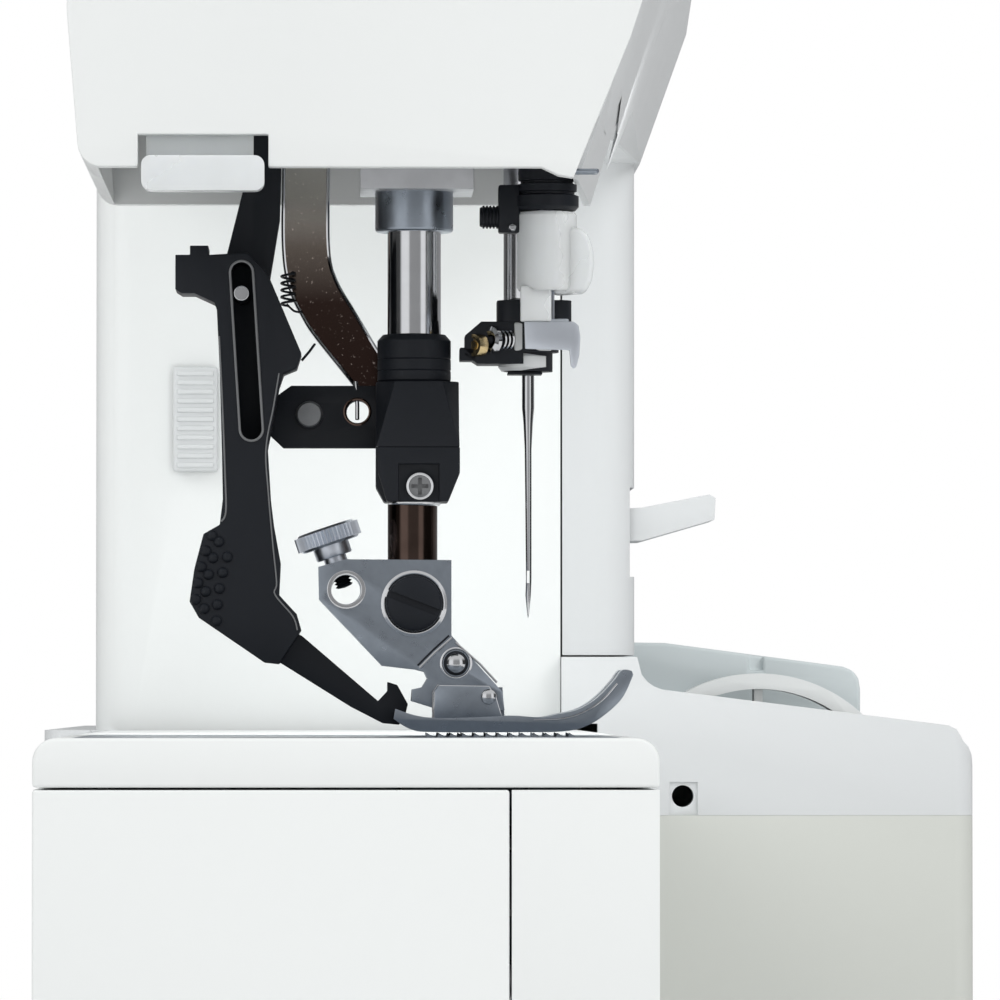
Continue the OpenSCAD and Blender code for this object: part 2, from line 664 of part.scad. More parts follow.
module presser_screws() color([0.5, 0.53, 0.57]) {
    cx(nx - 5.8, nx - 4.7, 16, 106.7, 1.6);
    difference() {
        cx(nx - ankle_w / 2 - 1.6, nx - ankle_w / 2, 16.9, 91.3, 4.2);
        box(nx - 20, nx - ankle_w / 2 - 0.9, 12, 22, 90.8, 91.8);
    }
    cx(nx - ankle_w / 2 - 0.8, nx - ankle_w / 2, 11.5, 83.4, 2.2);
}

module ankle() color([0.45, 0.48, 0.52]) difference() {
    union() {
        ex(nx - ankle_w / 2, nx + ankle_w / 2) polygon([[29.4, 96], [25.8, 97], [12.1, 96.9], [12.1,
            87.1], [5.5, 79.8],
            [5.2, 77.4], [14.4, 77.7], [17.3, 78.6], [17.2, 80.1], [15.9, 80.4], [15.2, 81.5], [15.6, 82.4],
            [16.8, 82.7], [21.1, 83.2], [29.3, 91.8]]);
        cz(nx, presser_y + 0.2, 97, 104, 3.15);
    }
    // thumb screw's tapped hole and the way for the top-feed finger
    cx(nx - 20, nx + 20, 25.8, 93.05, 1.9);
    translate([nx, 25.8, 93.05]) rotate([-18.6, 0, 0]) cylinder(h = 12, r = 1.6, center = false);
    cx(nx - 20, nx + 20, foot_pin_at[0], foot_pin_at[1], 1 + run);
    box(nx - 2.6, nx + 2.6, 4, 24, 76, 88);
}

module thumb_screw() color([0.5, 0.53, 0.57]) translate([nx, 25.8, 93.05]) rotate([-18.6, 0, 0]) {
    translate([0, 0, 2.1]) cylinder(h = 3.1, r = 1.55);
    translate([0, 0, 4.6]) cylinder(h = 2, r = 2.4);
    translate([0, 0, 6]) cylinder(h = 2.6, r = 3.9);
}

module presser_sole() color([0.45, 0.48, 0.52]) difference() {
    union() {
        ex(nx - sole_w / 2, nx + sole_w / 2) polygon([[-4.2, sole_z], [15.9, sole_z], [17.9, 75.1],
            [20.3, 77.7], [17, 76.9],
            [4.8, 76.6], [0.2, 76], [-4.6, 76.4], [-8.6, 78.6], [-11.2, 82.4], [-11.9, 82.2], [-9.8, 78],
                [-7.2, 75.6]]);
        ex(nx - 2.4, nx + 2.4) polygon([[5.1, 76], [14.4, 76], [14.2, 77.2], [9.4, 80.4], [5.4, 80.4]]);
    }
    // needle slot
    ez(70, 90) rr(nx - 4.6, nx + 4.6, needle_y - 2.4, needle_y + 2.4, 2.2);
    // toe gap
    box(nx - 1.6, nx + 1.6, -14, needle_y - 2, 70, 90);
    // gap for the top-feed finger
    box(nx - 2.4, nx + 2.4, 15, 24, 70, 90);
    cx(nx - 20, nx + 20, foot_pin_at[0], foot_pin_at[1], 1 + run);
}

module foot_pin() color([0.7, 0.72, 0.74]) cx(nx - ankle_w / 2 - 0.4, nx + ankle_w / 2 + 0.4,
    foot_pin_at[0], foot_pin_at[1], 1);

// ---- top feed ----

module feed_link() color([0.08, 0.085, 0.1]) difference() {
    ex(nx + 5, nx + 8.4) polygon([[39.5, 145], [38, 152], [40, 158], [39, 164], [33, 164], [32, 158],
        [34.3, 148.9],
        [34.5, 141.8], [35.8, 133.8], [36.6, 129.5], [36.3, 112], [40.5, 112], [42, 129.5], [41.5, 137]]);
    cx(nx, nx + 10, link_pivot[0], link_pivot[1], 1.5 + run);
    cx(nx, nx + 10, pin_at[0], pin_at[1], slot_pin_r);
}

module feed_link_pin() color([0.72, 0.74, 0.76]) {
    cx(nx - arm_w / 2 - 0.3, nx + 8.4, pin_at[0], pin_at[1], slot_pin_r);
}

module feed_arm() color([0.08, 0.085, 0.1]) {
    difference() {
        ex(nx - arm_w / 2, nx + arm_w / 2) polygon([[48, 136.6], [46.1, 136.6], [46.1, 137.8], [43.7,
            137.8], [43.7, 136.6],
            [38.6, 136.9], [36.7, 134.9], [35.7, 133.5], [31.6, 123.8], [32.2, 121.9], [33.9, 121.2],
                [34.5, 119.5],
            [36, 111.4], [35.6, 104.8], [35.2, 101.5], [34.3, 96.5], [34.5, 92.4], [32.2, 89.9], [31.6,
                87.8],
            [34.5, 83.4], [36.4, 83.6], [44.9, 89.4], [46.1, 91.5], [45.5, 95.7], [44.3, 100.3], [42.2,
                101.5],
            [41.8, 104.8], [41.9, 110.1], [42.2, 121.2], [42.6, 129.4], [42.9, 130.4], [45.5, 131.6],
                [47.2, 131.6],
            [48, 132.1]]);
        ex(nx - 20, nx + 20) union() {
            polygon([slot_top + [-1.4, 0], slot_top + [1.4, 0], slot_low + [1.4, 0], slot_low + [-1.4, 0]]);
            translate(slot_top) circle(1.4);
            translate(slot_low) circle(1.4);
        }
    }
    // finger that pulls the cloth behind the sole
    ex(nx - 1.5, nx + 1.5) polygon([[33, 88], [31.4, 87], [21.6, 78.6], [20.4, 79.9], [20.4, 81.1],
        [19.1, 80.7],
        [17.7, 78.2], [18.2, 76.2], [18.9, 75.5], [21, 75.7], [25.1, 77.8], [34.4, 83.6]]);
}

module feed_bracket() color([0.08, 0.085, 0.1]) {
    difference() {
        ex(nx + 5.4, nx + 7.4) polygon([[14, 111.8], [34, 111.8], [35.8, 113.5], [35.8, 118], [33, 120],
            [14, 120]]);
        cx(nx, nx + 20, 24.2, 116.5, 1.5);
    }
    cx(nx + 4.6, nx + 5.4, 30.6, 116, 1.7);
}

module feed_lift_lever() color([0.28, 0.2, 0.16]) {
    ex(nx + 8.9, nx + 11.5) polygon([[34.2, 170], [34.2, 138.8], [33.7, 134], [32.6, 130.2], [30, 126.3],
        [25.9, 120.8],
        [21.8, 116.3], [16, 116.3], [16, 120.8], [18.7, 120.8], [20, 121.6], [22, 124.3], [24.9, 130],
        [27.7, 135.9], [27.7, 170]]);
    cx(nx + 7.4, nx + 9, 18.6, 118.2, 1.8);
}

// ---- small controls ----

module feed_drop_slide() color([0.80, 0.82, 0.85]) {
    box(column_x - 2.4, column_x - 0.3, 45.5, 52.5, 114.3, 130.6);
    box(column_x - 0.4, column_x + 6, 47.3, 50.7, 122.2, 129);
}

module reverse_lever() color([0.80, 0.82, 0.85]) {
    ex(20, 38) polygon([[-13, 103.5], [-21, 103.7], [-32.4, 107], [-32.6, 110.4], [-31.6, 111], [-21,
        108.9], [-13, 108.5]]);
    cx(20.2, 38.8, -14, 106, 2.8);
}

module selector_wheel() color([0.92, 0.93, 0.94]) {
    difference() {
        cx(90.5, 99.5, selector_y, selector_z, selector_r);
        cx(90, 100, selector_y, selector_z, selector_r - 2.6);
    }
    difference() {
        union() {
            cx(90.5, 99.5, selector_y, selector_z, 4);
            for (a = [0, 120, 240]) translate([92, selector_y, selector_z]) rotate([a, 0,
                0]) translate([0, -0.7, 2.5])
                cube([6, 1.4, selector_r - 4.6]);
        }
        cx(90, 100, selector_y, selector_z, 2 + run);
    }
}

module wheel_housing() color([0.67, 0.7, 0.74]) difference() {
    ex(105, 178) polygon([[column_front_y - 0.4, col_z + 0.3], [column_front_y - 0.4, 88.4], [-28.4, 88.3], [-58.6, 84.3],
        [-60.3, 83.6], [-61.2, 82.3], [-61.5, 80.5], [-61.5, deck(-61.5) + 0.05],
        [column_front_y - 4.7, deck(column_front_y - 4.7) + 0.05]]);
    // index notch above the wheel
    box(104, 106.2, -45, -42.6, 83.6, 90);
}

module take_up_lever() color([0.75, 0.76, 0.78]) difference() {
    union() {
        ex(nx + 14.5, nx + 17.2) polygon([[take_up_at[0], take_up_at[1] - 5], [-27, 240.5], [-33.6, 247],
            [-35.5, 252.5], [-34.4, 254.6],
            [-32, 254.6], [-29, 251.5], [-25, 247], [take_up_at[0], take_up_at[1] + 5]]);
        cx(nx + 14.3, nx + 17.3, take_up_at[0], take_up_at[1], 6);
    }
    cx(nx + 10, nx + 22, take_up_at[0], take_up_at[1], 2.5 + run);
    cx(nx + 10, nx + 22, -31.8, 250.4, 1.2);
}

module thread_guide() color([0.85, 0.86, 0.88]) {
    box(nx - 20, nx - 16.5, -4.5, -1, 150.6, 154);
    for (x = [nx - 19.5, nx - 17]) {
        cz(x, -2.4, 146.5, 151, 0.3);
        cy(x, -6.3, -2.4, 146.5, 0.3);
    }
    cx(nx - 19.5, nx - 17, -6.3, 146.5, 0.3);
}

module tension_dial() color([0.80, 0.82, 0.85]) difference() {
    cx(-115, -109, 20, arm_top_z - 10, 15);
    cx(-116, -108, 20, arm_top_z - 10, 2.5 + run);
}

module spool_pin() color([0.80, 0.82, 0.85]) {
    cz(spool_at[0], spool_at[1], arm_top_z - 21.4, arm_top_z + 22.6, 3);
}

module power_socket() color([0.1, 0.1, 0.11]) difference() {
    box(base_rx - 18, base_rx, 22, 46, 24, 46);
    box(base_rx - 14, base_rx + 1, 25, 43, 28, 42);
}

module power_switch() color([0.1, 0.1, 0.11]) {
    ey(-5.6, 9.6) polygon([[base_rx - 8, 27.5], [base_rx - 0.4, 27.5], [base_rx + 1.2, 35],
        [base_rx + 2.6, 42.5], [base_rx - 8, 42.5]]);
}

base_lower_cover();
base_upper_cover();
rubber_feet();
free_arm_casing();
free_arm_top_cover();
bobbin_door();
free_arm_end_panel();
needle_plate();
feed_dog();
feed_carrier();
rotary_hook();
bobbin_case();
bobbin();
hook_shaft();
hook_pulley();
rear_casing();
front_panel();
face_cover();
arm_frame();
carrying_handle();
handwheel();
main_shaft();
crank();
connecting_link();
drive_pulleys();
motor();
motor_pulley();
drive_belts();
needle_bar_frame();
needle_bar();
needle_clamp();
needle();
clamp_screws();
presser_bar();
presser_bush();
presser_block();
presser_screws();
ankle();
thumb_screw();
presser_sole();
foot_pin();
feed_link();
feed_link_pin();
feed_arm();
feed_bracket();
feed_lift_lever();
threader_handle();
threader_sleeve();
threader_hook();
threader_collars();
feed_drop_slide();
reverse_lever();
selector_wheel();
wheel_housing();
take_up_lever();
thread_guide();
tension_dial();
spool_pin();
power_socket();
power_switch();
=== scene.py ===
"""Free-arm sewing machine with a top-feed arm: the looks of each piece.

Metres, +Z up, operator side -Y, needle end -X. Pieces take their places from the frame.
"""

import json
import math

import bmesh
import bpy
from mathutils import Matrix, Vector


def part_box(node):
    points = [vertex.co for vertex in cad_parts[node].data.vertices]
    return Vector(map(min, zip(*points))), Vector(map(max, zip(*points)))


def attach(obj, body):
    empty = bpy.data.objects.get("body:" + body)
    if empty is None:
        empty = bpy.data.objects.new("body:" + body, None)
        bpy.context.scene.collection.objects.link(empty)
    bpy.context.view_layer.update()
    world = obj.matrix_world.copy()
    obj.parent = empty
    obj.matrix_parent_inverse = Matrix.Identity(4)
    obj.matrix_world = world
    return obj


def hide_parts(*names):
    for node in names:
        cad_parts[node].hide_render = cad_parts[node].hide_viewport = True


bl_info = {
    "name": "Free-arm sewing machine",
    "version": (1, 0, 0),
    "blender": (4, 5, 0),
    "location": "View3D > Sidebar > Sewing machine",
    "description": "Builds the pieces, finishes and studio of a free-arm sewing machine",
    "category": "Object",
}

MM = 0.001
FLOOR_HALF = 0.62

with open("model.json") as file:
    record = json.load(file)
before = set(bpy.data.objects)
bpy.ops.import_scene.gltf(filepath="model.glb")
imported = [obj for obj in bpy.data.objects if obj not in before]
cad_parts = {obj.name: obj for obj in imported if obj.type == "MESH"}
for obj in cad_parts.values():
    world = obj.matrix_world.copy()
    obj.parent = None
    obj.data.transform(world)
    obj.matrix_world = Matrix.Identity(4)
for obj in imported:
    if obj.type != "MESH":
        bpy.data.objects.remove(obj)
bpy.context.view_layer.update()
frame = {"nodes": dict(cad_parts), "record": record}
BODY_OF = {
    node: body
    for body, nodes in frame["record"]["behaviour"]["bodies"].items()
    for node in nodes
}
SLOT_OF = {entry["node"]: entry["material_slot"] for entry in frame["record"]["subparts"]}


def place(node):
    """Lowest and highest corner of a CAD node, in metres."""
    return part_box(node)


NEEDLE_LOW, NEEDLE_HIGH = place("needle")
NEEDLE_X = (NEEDLE_LOW.x + NEEDLE_HIGH.x) / 2
NEEDLE_Y = (NEEDLE_LOW.y + NEEDLE_HIGH.y) / 2
NX = NEEDLE_X / MM


# ---------------------------------------------------------------- sizes and colours


class SewingMachineFinish(bpy.types.PropertyGroup):
    """Colours and edge sizes that a user would change."""

    white: bpy.props.FloatVectorProperty(
        name="White mouldings", description="Colour of the casing", subtype="COLOR", size=3,
        min=0, max=1, default=(0.765, 0.785, 0.78),
    )
    grey: bpy.props.FloatVectorProperty(
        name="Grey mouldings", description="Colour of the front panel and the deck", subtype="COLOR",
        size=3, min=0, max=1, default=(0.62, 0.638, 0.645),
    )
    blue_grey: bpy.props.FloatVectorProperty(
        name="Blue-grey mouldings", description="Colour of the dial housing", subtype="COLOR",
        size=3, min=0, max=1, default=(0.60, 0.655, 0.665),
    )
    black: bpy.props.FloatVectorProperty(
        name="Black mouldings", description="Colour of the top-feed arm and the clamps",
        subtype="COLOR", size=3, min=0, max=1, default=(0.010, 0.012, 0.016),
    )
    steel: bpy.props.FloatVectorProperty(
        name="Plated steel", description="Colour of the ankle and the sole", subtype="COLOR",
        size=3, min=0, max=1, default=(0.33, 0.37, 0.42),
    )
    casing_edge: bpy.props.FloatProperty(
        name="Casing edges", description="Rounding of the casing's edges", unit="LENGTH",
        min=0.0002, max=0.003, default=0.9 * MM,
    )
    metal_edge: bpy.props.FloatProperty(
        name="Metal edges", description="Rounding of the metal pieces' edges", unit="LENGTH",
        min=0.00005, max=0.001, default=0.22 * MM,
    )


class SewingMachineStudio(bpy.types.PropertyGroup):
    """The camera and the light."""

    camera_place: bpy.props.FloatVectorProperty(
        name="Camera", description="Where the camera stands", subtype="TRANSLATION", size=3,
        default=(-1.110, 0.0272, 0.079),
    )
    aim: bpy.props.FloatVectorProperty(
        name="Aim", description="Direction the camera looks in", subtype="DIRECTION", size=3,
        default=(1.0, -0.0229, 0.0275),
    )
    lens: bpy.props.FloatProperty(
        name="Lens", description="Focal length on a 36 mm sensor", unit="CAMERA",
        min=20, max=600, default=259.2,
    )
    fill: bpy.props.FloatProperty(
        name="Fill light", description="Strength of the light from all round", min=0, max=3, default=0.50,
    )


def finish_values():
    return bpy.context.scene.sewing_machine_finish


def studio_values():
    return bpy.context.scene.sewing_machine_studio


# ---------------------------------------------------------------- materials


def new_material(name):
    """An empty node material and its shader."""
    material = bpy.data.materials.new(name)
    material.use_nodes = True
    tree = material.node_tree
    shader = tree.nodes["Principled BSDF"]
    return material, tree, shader


def object_noise(tree, scale, fineness=3.0):
    """Noise on the piece's own coordinates."""
    coords = tree.nodes.new("ShaderNodeTexCoord")
    noise = tree.nodes.new("ShaderNodeTexNoise")
    noise.inputs["Scale"].default_value = scale
    noise.inputs["Detail"].default_value = fineness
    tree.links.new(coords.outputs["Object"], noise.inputs["Vector"])
    return noise


def vary_colour(tree, shader, noise, colour, spread):
    """Base colour that drifts a little round its value."""
    ramp = tree.nodes.new("ShaderNodeValToRGB")
    low = [max(0.0, c * (1 - spread)) for c in colour]
    high = [min(1.0, c * (1 + spread)) for c in colour]
    ramp.color_ramp.elements[0].position = 0.2
    ramp.color_ramp.elements[0].color = (*low, 1)
    ramp.color_ramp.elements[1].position = 0.8
    ramp.color_ramp.elements[1].color = (*high, 1)
    tree.links.new(noise.outputs["Fac"], ramp.inputs["Fac"])
    tree.links.new(ramp.outputs["Color"], shader.inputs["Base Color"])


def vary_roughness(tree, shader, noise, low, high):
    """Roughness that drifts between two values."""
    spread = tree.nodes.new("ShaderNodeMapRange")
    spread.inputs["From Min"].default_value = 0.3
    spread.inputs["From Max"].default_value = 0.7
    spread.inputs["To Min"].default_value = low
    spread.inputs["To Max"].default_value = high
    tree.links.new(noise.outputs["Fac"], spread.inputs["Value"])
    tree.links.new(spread.outputs["Result"], shader.inputs["Roughness"])


def add_bump(tree, shader, noise, strength, distance):
    """Fine relief from a noise."""
    bump = tree.nodes.new("ShaderNodeBump")
    bump.inputs["Strength"].default_value = strength
    bump.inputs["Distance"].default_value = distance
    tree.links.new(noise.outputs["Fac"], bump.inputs["Height"])
    tree.links.new(bump.outputs["Normal"], shader.inputs["Normal"])


def moulded_plastic(name, colour, roughness, spread=0.012, grain=900, relief=0.05, gloss=0.5):
    """Injection-moulded plastic with a fine satin grain."""
    material, tree, shader = new_material(name)
    vary_colour(tree, shader, object_noise(tree, 14, 1), colour, spread)
    vary_roughness(tree, shader, object_noise(tree, 60), *roughness)
    add_bump(tree, shader, object_noise(tree, grain, 2), relief, 0.0001)
    shader.inputs["IOR"].default_value = 1.5
    shader.inputs["Specular IOR Level"].default_value = gloss
    return material


def milky_plastic(name, colour):
    """Cloudy plastic that lets some light through."""
    material, tree, shader = new_material(name)
    vary_colour(tree, shader, object_noise(tree, 200), colour, 0.03)
    vary_roughness(tree, shader, object_noise(tree, 120), 0.18, 0.3)
    shader.inputs["Subsurface Weight"].default_value = 0.35
    shader.inputs["Subsurface Radius"].default_value = (0.002, 0.002, 0.0022)
    shader.inputs["Subsurface Scale"].default_value = 1.0
    shader.inputs["Transmission Weight"].default_value = 0.25
    shader.inputs["IOR"].default_value = 1.49
    return material


def worked_metal(name, colour, roughness, spread=0.08, grain=260, relief=0.06):
    """Machined or plated metal with a fine even grain."""
    material, tree, shader = new_material(name)
    grit = object_noise(tree, grain, 4)
    vary_colour(tree, shader, grit, colour, spread)
    vary_roughness(tree, shader, object_noise(tree, grain * 0.7, 3), *roughness)
    add_bump(tree, shader, grit, relief, 0.00005)
    shader.inputs["Metallic"].default_value = 1.0
    return material


def soft_rubber(name, colour):
    """Matte rubber."""
    material, tree, shader = new_material(name)
    vary_colour(tree, shader, object_noise(tree, 90), colour, 0.15)
    vary_roughness(tree, shader, object_noise(tree, 300), 0.7, 0.85)
    add_bump(tree, shader, object_noise(tree, 1500, 2), 0.2, 0.0001)
    return material


def lever_painted_reflection():
    """Polished dark nickel with a painted reflection: darker towards the lever's lower end, pale towards its top,
    with fine specks.
    """
    material, tree, shader = new_material("lever_nickel")
    coords = tree.nodes.new("ShaderNodeTexCoord")
    axes = tree.nodes.new("ShaderNodeSeparateXYZ")
    height = tree.nodes.new("ShaderNodeMapRange")
    height.inputs["From Min"].default_value = 0.116
    height.inputs["From Max"].default_value = 0.152
    # painted reflection by height: near-black brown at the lower end, pale cream at the top
    ramp = tree.nodes.new("ShaderNodeValToRGB")
    ramp.color_ramp.elements[0].color = (0.040, 0.022, 0.018, 1)
    ramp.color_ramp.elements[1].color = (0.92, 0.89, 0.82, 1)
    for position, colour in ((0.42, (0.055, 0.034, 0.028, 1)), (0.62, (0.24, 0.20, 0.17, 1))):
        ramp.color_ramp.elements.new(position).color = colour
    specks = object_noise(tree, 2600, 2)
    spots = tree.nodes.new("ShaderNodeValToRGB")
    spots.color_ramp.elements[0].position = 0.66
    spots.color_ramp.elements[0].color = (0, 0, 0, 1)
    spots.color_ramp.elements[1].position = 0.74
    spots.color_ramp.elements[1].color = (0.35, 0.3, 0.27, 1)
    total = tree.nodes.new("ShaderNodeMix")
    total.data_type = "RGBA"
    total.blend_type = "ADD"
    total.inputs[0].default_value = 1.0
    for source, target in (
        (coords.outputs["Object"], axes.inputs[0]),
        (axes.outputs["Z"], height.inputs["Value"]),
        (height.outputs["Result"], ramp.inputs["Fac"]),
        (specks.outputs["Fac"], spots.inputs["Fac"]),
        (ramp.outputs["Color"], total.inputs[6]),
        (spots.outputs["Color"], total.inputs[7]),
        (total.outputs[2], shader.inputs["Base Color"]),
    ):
        tree.links.new(source, target)
    vary_roughness(tree, shader, object_noise(tree, 150), 0.12, 0.2)
    shader.inputs["Metallic"].default_value = 1.0
    return material


MATERIALS = {}
# finishes of small details, taken in place of the record's slot
NODE_FINISH = {
    # the base's lower cover takes a darker grey-white: painted shade for the shade it stands in behind the free arm
    "base_lower_cover": "base_white", "threader_hook": "pale_steel", "feed_lift_lever": "lever_nickel",
    "thumb_screw": "pale_steel",
}


def make_materials():
    """One material for each of the record's slots."""
    f = finish_values()
    MATERIALS.update(
        white_plastic=moulded_plastic("white_plastic", f.white, (0.38, 0.42), 0.006),
        grey_plastic=moulded_plastic("grey_plastic", f.grey, (0.40, 0.45), 0.008),
        blue_grey_plastic=moulded_plastic("blue_grey_plastic", f.blue_grey, (0.34, 0.46)),
        black_plastic=moulded_plastic("black_plastic", f.black, (0.42, 0.55), 0.25, 700, 0.12, 0.25),
        milky_plastic=milky_plastic("milky_plastic", (0.82, 0.85, 0.86)),
        satin_steel=worked_metal("satin_steel", f.steel, (0.26, 0.38), 0.05, 900, relief=0.03),
        polished_steel=worked_metal("polished_steel", (0.62, 0.63, 0.645), (0.08, 0.14), 0.04, 500, relief=0.02),
        brown_nickel=worked_metal("brown_nickel", (0.085, 0.058, 0.048), (0.10, 0.2), 0.25, 260),
        brass=worked_metal("brass", (0.70, 0.55, 0.30), (0.2, 0.32), 0.08, 400),
        cast_aluminium=worked_metal("cast_aluminium", (0.58, 0.59, 0.61), (0.42, 0.6), 0.08, 300, relief=0.35),
        motor_steel=moulded_plastic("motor_steel", (0.03, 0.03, 0.033), (0.35, 0.5), 0.2, 500, 0.2),
        # darker grey-white for the base's lower cover: painted shade
        base_white=moulded_plastic("base_white", (0.55, 0.565, 0.53), (0.40, 0.45), 0.008),
        pale_steel=worked_metal("pale_steel", (0.66, 0.70, 0.76), (0.3, 0.42), 0.04, 300),
        # lever material: dark nickel with a painted reflection by height
        lever_nickel=lever_painted_reflection(),
        black_edge=moulded_plastic("black_edge", (0.16, 0.165, 0.17), (0.3, 0.45), 0.1),
        grey_metal=worked_metal("grey_metal", (0.30, 0.31, 0.32), (0.5, 0.65), 0.08, 500),
        rubber=soft_rubber("rubber", (0.02, 0.02, 0.022)),
    )


# ---------------------------------------------------------------- pieces from the frame


def new_piece(name, bm, slot, body, smooth_angle):
    """Turns a finished bmesh into a piece with one finish that rides on a body."""
    mesh = bpy.data.meshes.new(name)
    bm.to_mesh(mesh)
    bm.free()
    mesh.shade_smooth()
    mesh.set_sharp_from_angle(angle=math.radians(smooth_angle))
    mesh.materials.append(MATERIALS[slot])
    piece = bpy.data.objects.new(name, mesh)
    bpy.context.scene.collection.objects.link(piece)
    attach(piece, body)
    return piece


def mesh_piece(name, bm, node, slot=None, smooth_angle=35):
    """A piece that stands for a CAD node and rides on its body."""
    slot = slot or NODE_FINISH.get(node) or SLOT_OF[node]
    piece = new_piece(name, bm, slot, BODY_OF[node], smooth_angle)
    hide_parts(node)
    return piece


def detail(name, bm, body, slot, smooth_angle=35):
    """A small piece that no CAD node stands for."""
    return new_piece(name, bm, slot, body, smooth_angle)


def merged_copy(node):
    """The CAD node's surface as one clean mesh, flat areas joined up."""
    bm = bmesh.new()
    bm.from_mesh(frame["nodes"][node].data)
    bmesh.ops.remove_doubles(bm, verts=bm.verts, dist=2e-6)
    bmesh.ops.dissolve_degenerate(bm, dist=2e-6, edges=bm.edges)
    bmesh.ops.dissolve_limit(
        bm, angle_limit=math.radians(0.4), verts=bm.verts, edges=bm.edges, use_dissolve_boundaries=False
    )
    return bm


def soften_edges(bm, width, angle=28, segments=3, material=-1):
    """Rounds every edge sharper than the angle; material is the slot that the rounding takes."""
    sharp = [
        e for e in bm.edges
        if len(e.link_faces) == 2 and e.calc_face_angle(0) > math.radians(angle)
    ]
    if sharp:
        bmesh.ops.bevel(
            bm, geom=sharp, offset=width, offset_type="OFFSET", segments=segments, profile=0.5,
            affect="EDGES", clamp_overlap=True, loop_slide=True, material=material,
        )


def finish_node(node, width, bright=None):
    """A CAD node with softened edges, which take the bright slot where one is named."""
    bm = merged_copy(node)
    soften_edges(bm, width, material=1 if bright else -1)
    piece = mesh_piece(node + "_piece", bm, node)
    if bright:
        piece.data.materials.append(MATERIALS[bright])


# ---------------------------------------------------------------- hand-made shapes


def at(x, y, z):
    """A point given in millimetres."""
    return Vector((x, y, z)) * MM


def prism(outline, x0, x1):
    """A solid from a (Y, Z) outline between two X values, all in mm."""
    bm = bmesh.new()
    first = [bm.verts.new(at(x0, *p)) for p in outline]
    last = [bm.verts.new(at(x1, *p)) for p in outline]
    bm.faces.new(first)
    bm.faces.new(last)
    count = len(outline)
    for i in range(count):
        bm.faces.new((first[i], first[(i + 1) % count], last[(i + 1) % count], last[i]))
    bmesh.ops.recalc_face_normals(bm, faces=bm.faces)
    return bm


def lathe(profile, centre, axis=(1, 0, 0), steps=48):
    """Turns a closed (distance along the axis, radius) profile, in mm, round an axis through centre."""
    bm = bmesh.new()
    turn = Vector(axis).normalized().to_track_quat("X", "Z")
    rings = []
    for along, radius in profile:
        if radius < 1e-6:
            rings.append([bm.verts.new(at(*centre) + turn @ at(along, 0, 0))])
            continue
        rings.append([
            bm.verts.new(at(*centre) + turn @ at(
                along, radius * math.cos(2 * math.pi * i / steps), radius * math.sin(2 * math.pi * i / steps)
            ))
            for i in range(steps)
        ])
    closed = len(rings[0]) > 1
    for k in range(len(rings) if closed else len(rings) - 1):
        a, b = rings[k], rings[(k + 1) % len(rings)]
        for i in range(steps):
            j = (i + 1) % steps
            corners = [a[i % len(a)], a[j % len(a)], b[j % len(b)], b[i % len(b)]]
            unique = list(dict.fromkeys(corners))
            if len(unique) > 2:
                bm.faces.new(unique)
    bmesh.ops.recalc_face_normals(bm, faces=bm.faces)
    return bm


def smooth_line(points, steps=8):
    """Points along a Catmull-Rom curve through the given ones."""
    line = []
    for i in range(len(points) - 1):
        p0, p1 = points[max(i - 1, 0)], points[i]
        p2, p3 = points[i + 1], points[min(i + 2, len(points) - 1)]
        for k in range(steps):
            t = k / steps
            line.append(tuple(
                0.5 * (2 * b + (c - a) * t + (2 * a - 5 * b + 4 * c - d) * t * t
                       + (3 * b - a - 3 * c + d) * t ** 3)
                for a, b, c, d in zip(p0, p1, p2, p3)
            ))
    return line + [tuple(points[-1])]


def tube(points, radius, sides=10, closed=False):
    """A round wire through points in mm."""
    bm = bmesh.new()
    path = [at(*p) for p in points]
    count = len(path)
    rings = []
    normal = None
    for i, p in enumerate(path):
        if closed:
            along = path[(i + 1) % count] - path[i - 1]
        else:
            along = path[min(i + 1, count - 1)] - path[max(i - 1, 0)]
        along.normalize()
        if normal is None:
            normal = along.orthogonal().normalized()
        normal = (normal - along * normal.dot(along)).normalized()
        side = along.cross(normal)
        rings.append([
            bm.verts.new(p + radius * MM * (
                normal * math.cos(2 * math.pi * k / sides) + side * math.sin(2 * math.pi * k / sides)
            ))
            for k in range(sides)
        ])
    for i in range(count if closed else count - 1):
        a, b = rings[i], rings[(i + 1) % count]
        for k in range(sides):
            bm.faces.new((a[k], a[(k + 1) % sides], b[(k + 1) % sides], b[k]))
    if not closed:
        bm.faces.new(rings[0])
        bm.faces.new(rings[-1])
    bmesh.ops.recalc_face_normals(bm, faces=bm.faces)
    return bm


def joined(*parts):
    """Several meshes as one."""
    whole = bmesh.new()
    for part in parts:
        mesh = bpy.data.meshes.new("part")
        part.to_mesh(mesh)
        part.free()
        whole.from_mesh(mesh)
        bpy.data.meshes.remove(mesh)
    return whole


def carved(bm, *cutters):
    """The mesh with the cutters taken out of it."""
    base = temporary(bm)
    for cutter in cutters:
        tool = temporary(cutter)
        modifier = base.modifiers.new("cut", "BOOLEAN")
        modifier.operation = "DIFFERENCE"
        modifier.solver = "EXACT"
        modifier.object = tool
        result = evaluated_mesh(base)
        base.modifiers.clear()
        old = base.data
        base.data = result
        bpy.data.meshes.remove(old)
        bpy.data.objects.remove(tool)
    out = bmesh.new()
    out.from_mesh(base.data)
    bpy.data.objects.remove(base)
    return out


def temporary(bm):
    """A short-lived object that holds a mesh."""
    mesh = bpy.data.meshes.new("temporary")
    bm.to_mesh(mesh)
    bm.free()
    holder = bpy.data.objects.new("temporary", mesh)
    bpy.context.scene.collection.objects.link(holder)
    return holder


def evaluated_mesh(holder):
    """The object's mesh with its modifiers applied."""
    bpy.context.view_layer.update()
    graph = bpy.context.evaluated_depsgraph_get()
    return bpy.data.meshes.new_from_object(holder.evaluated_get(graph))


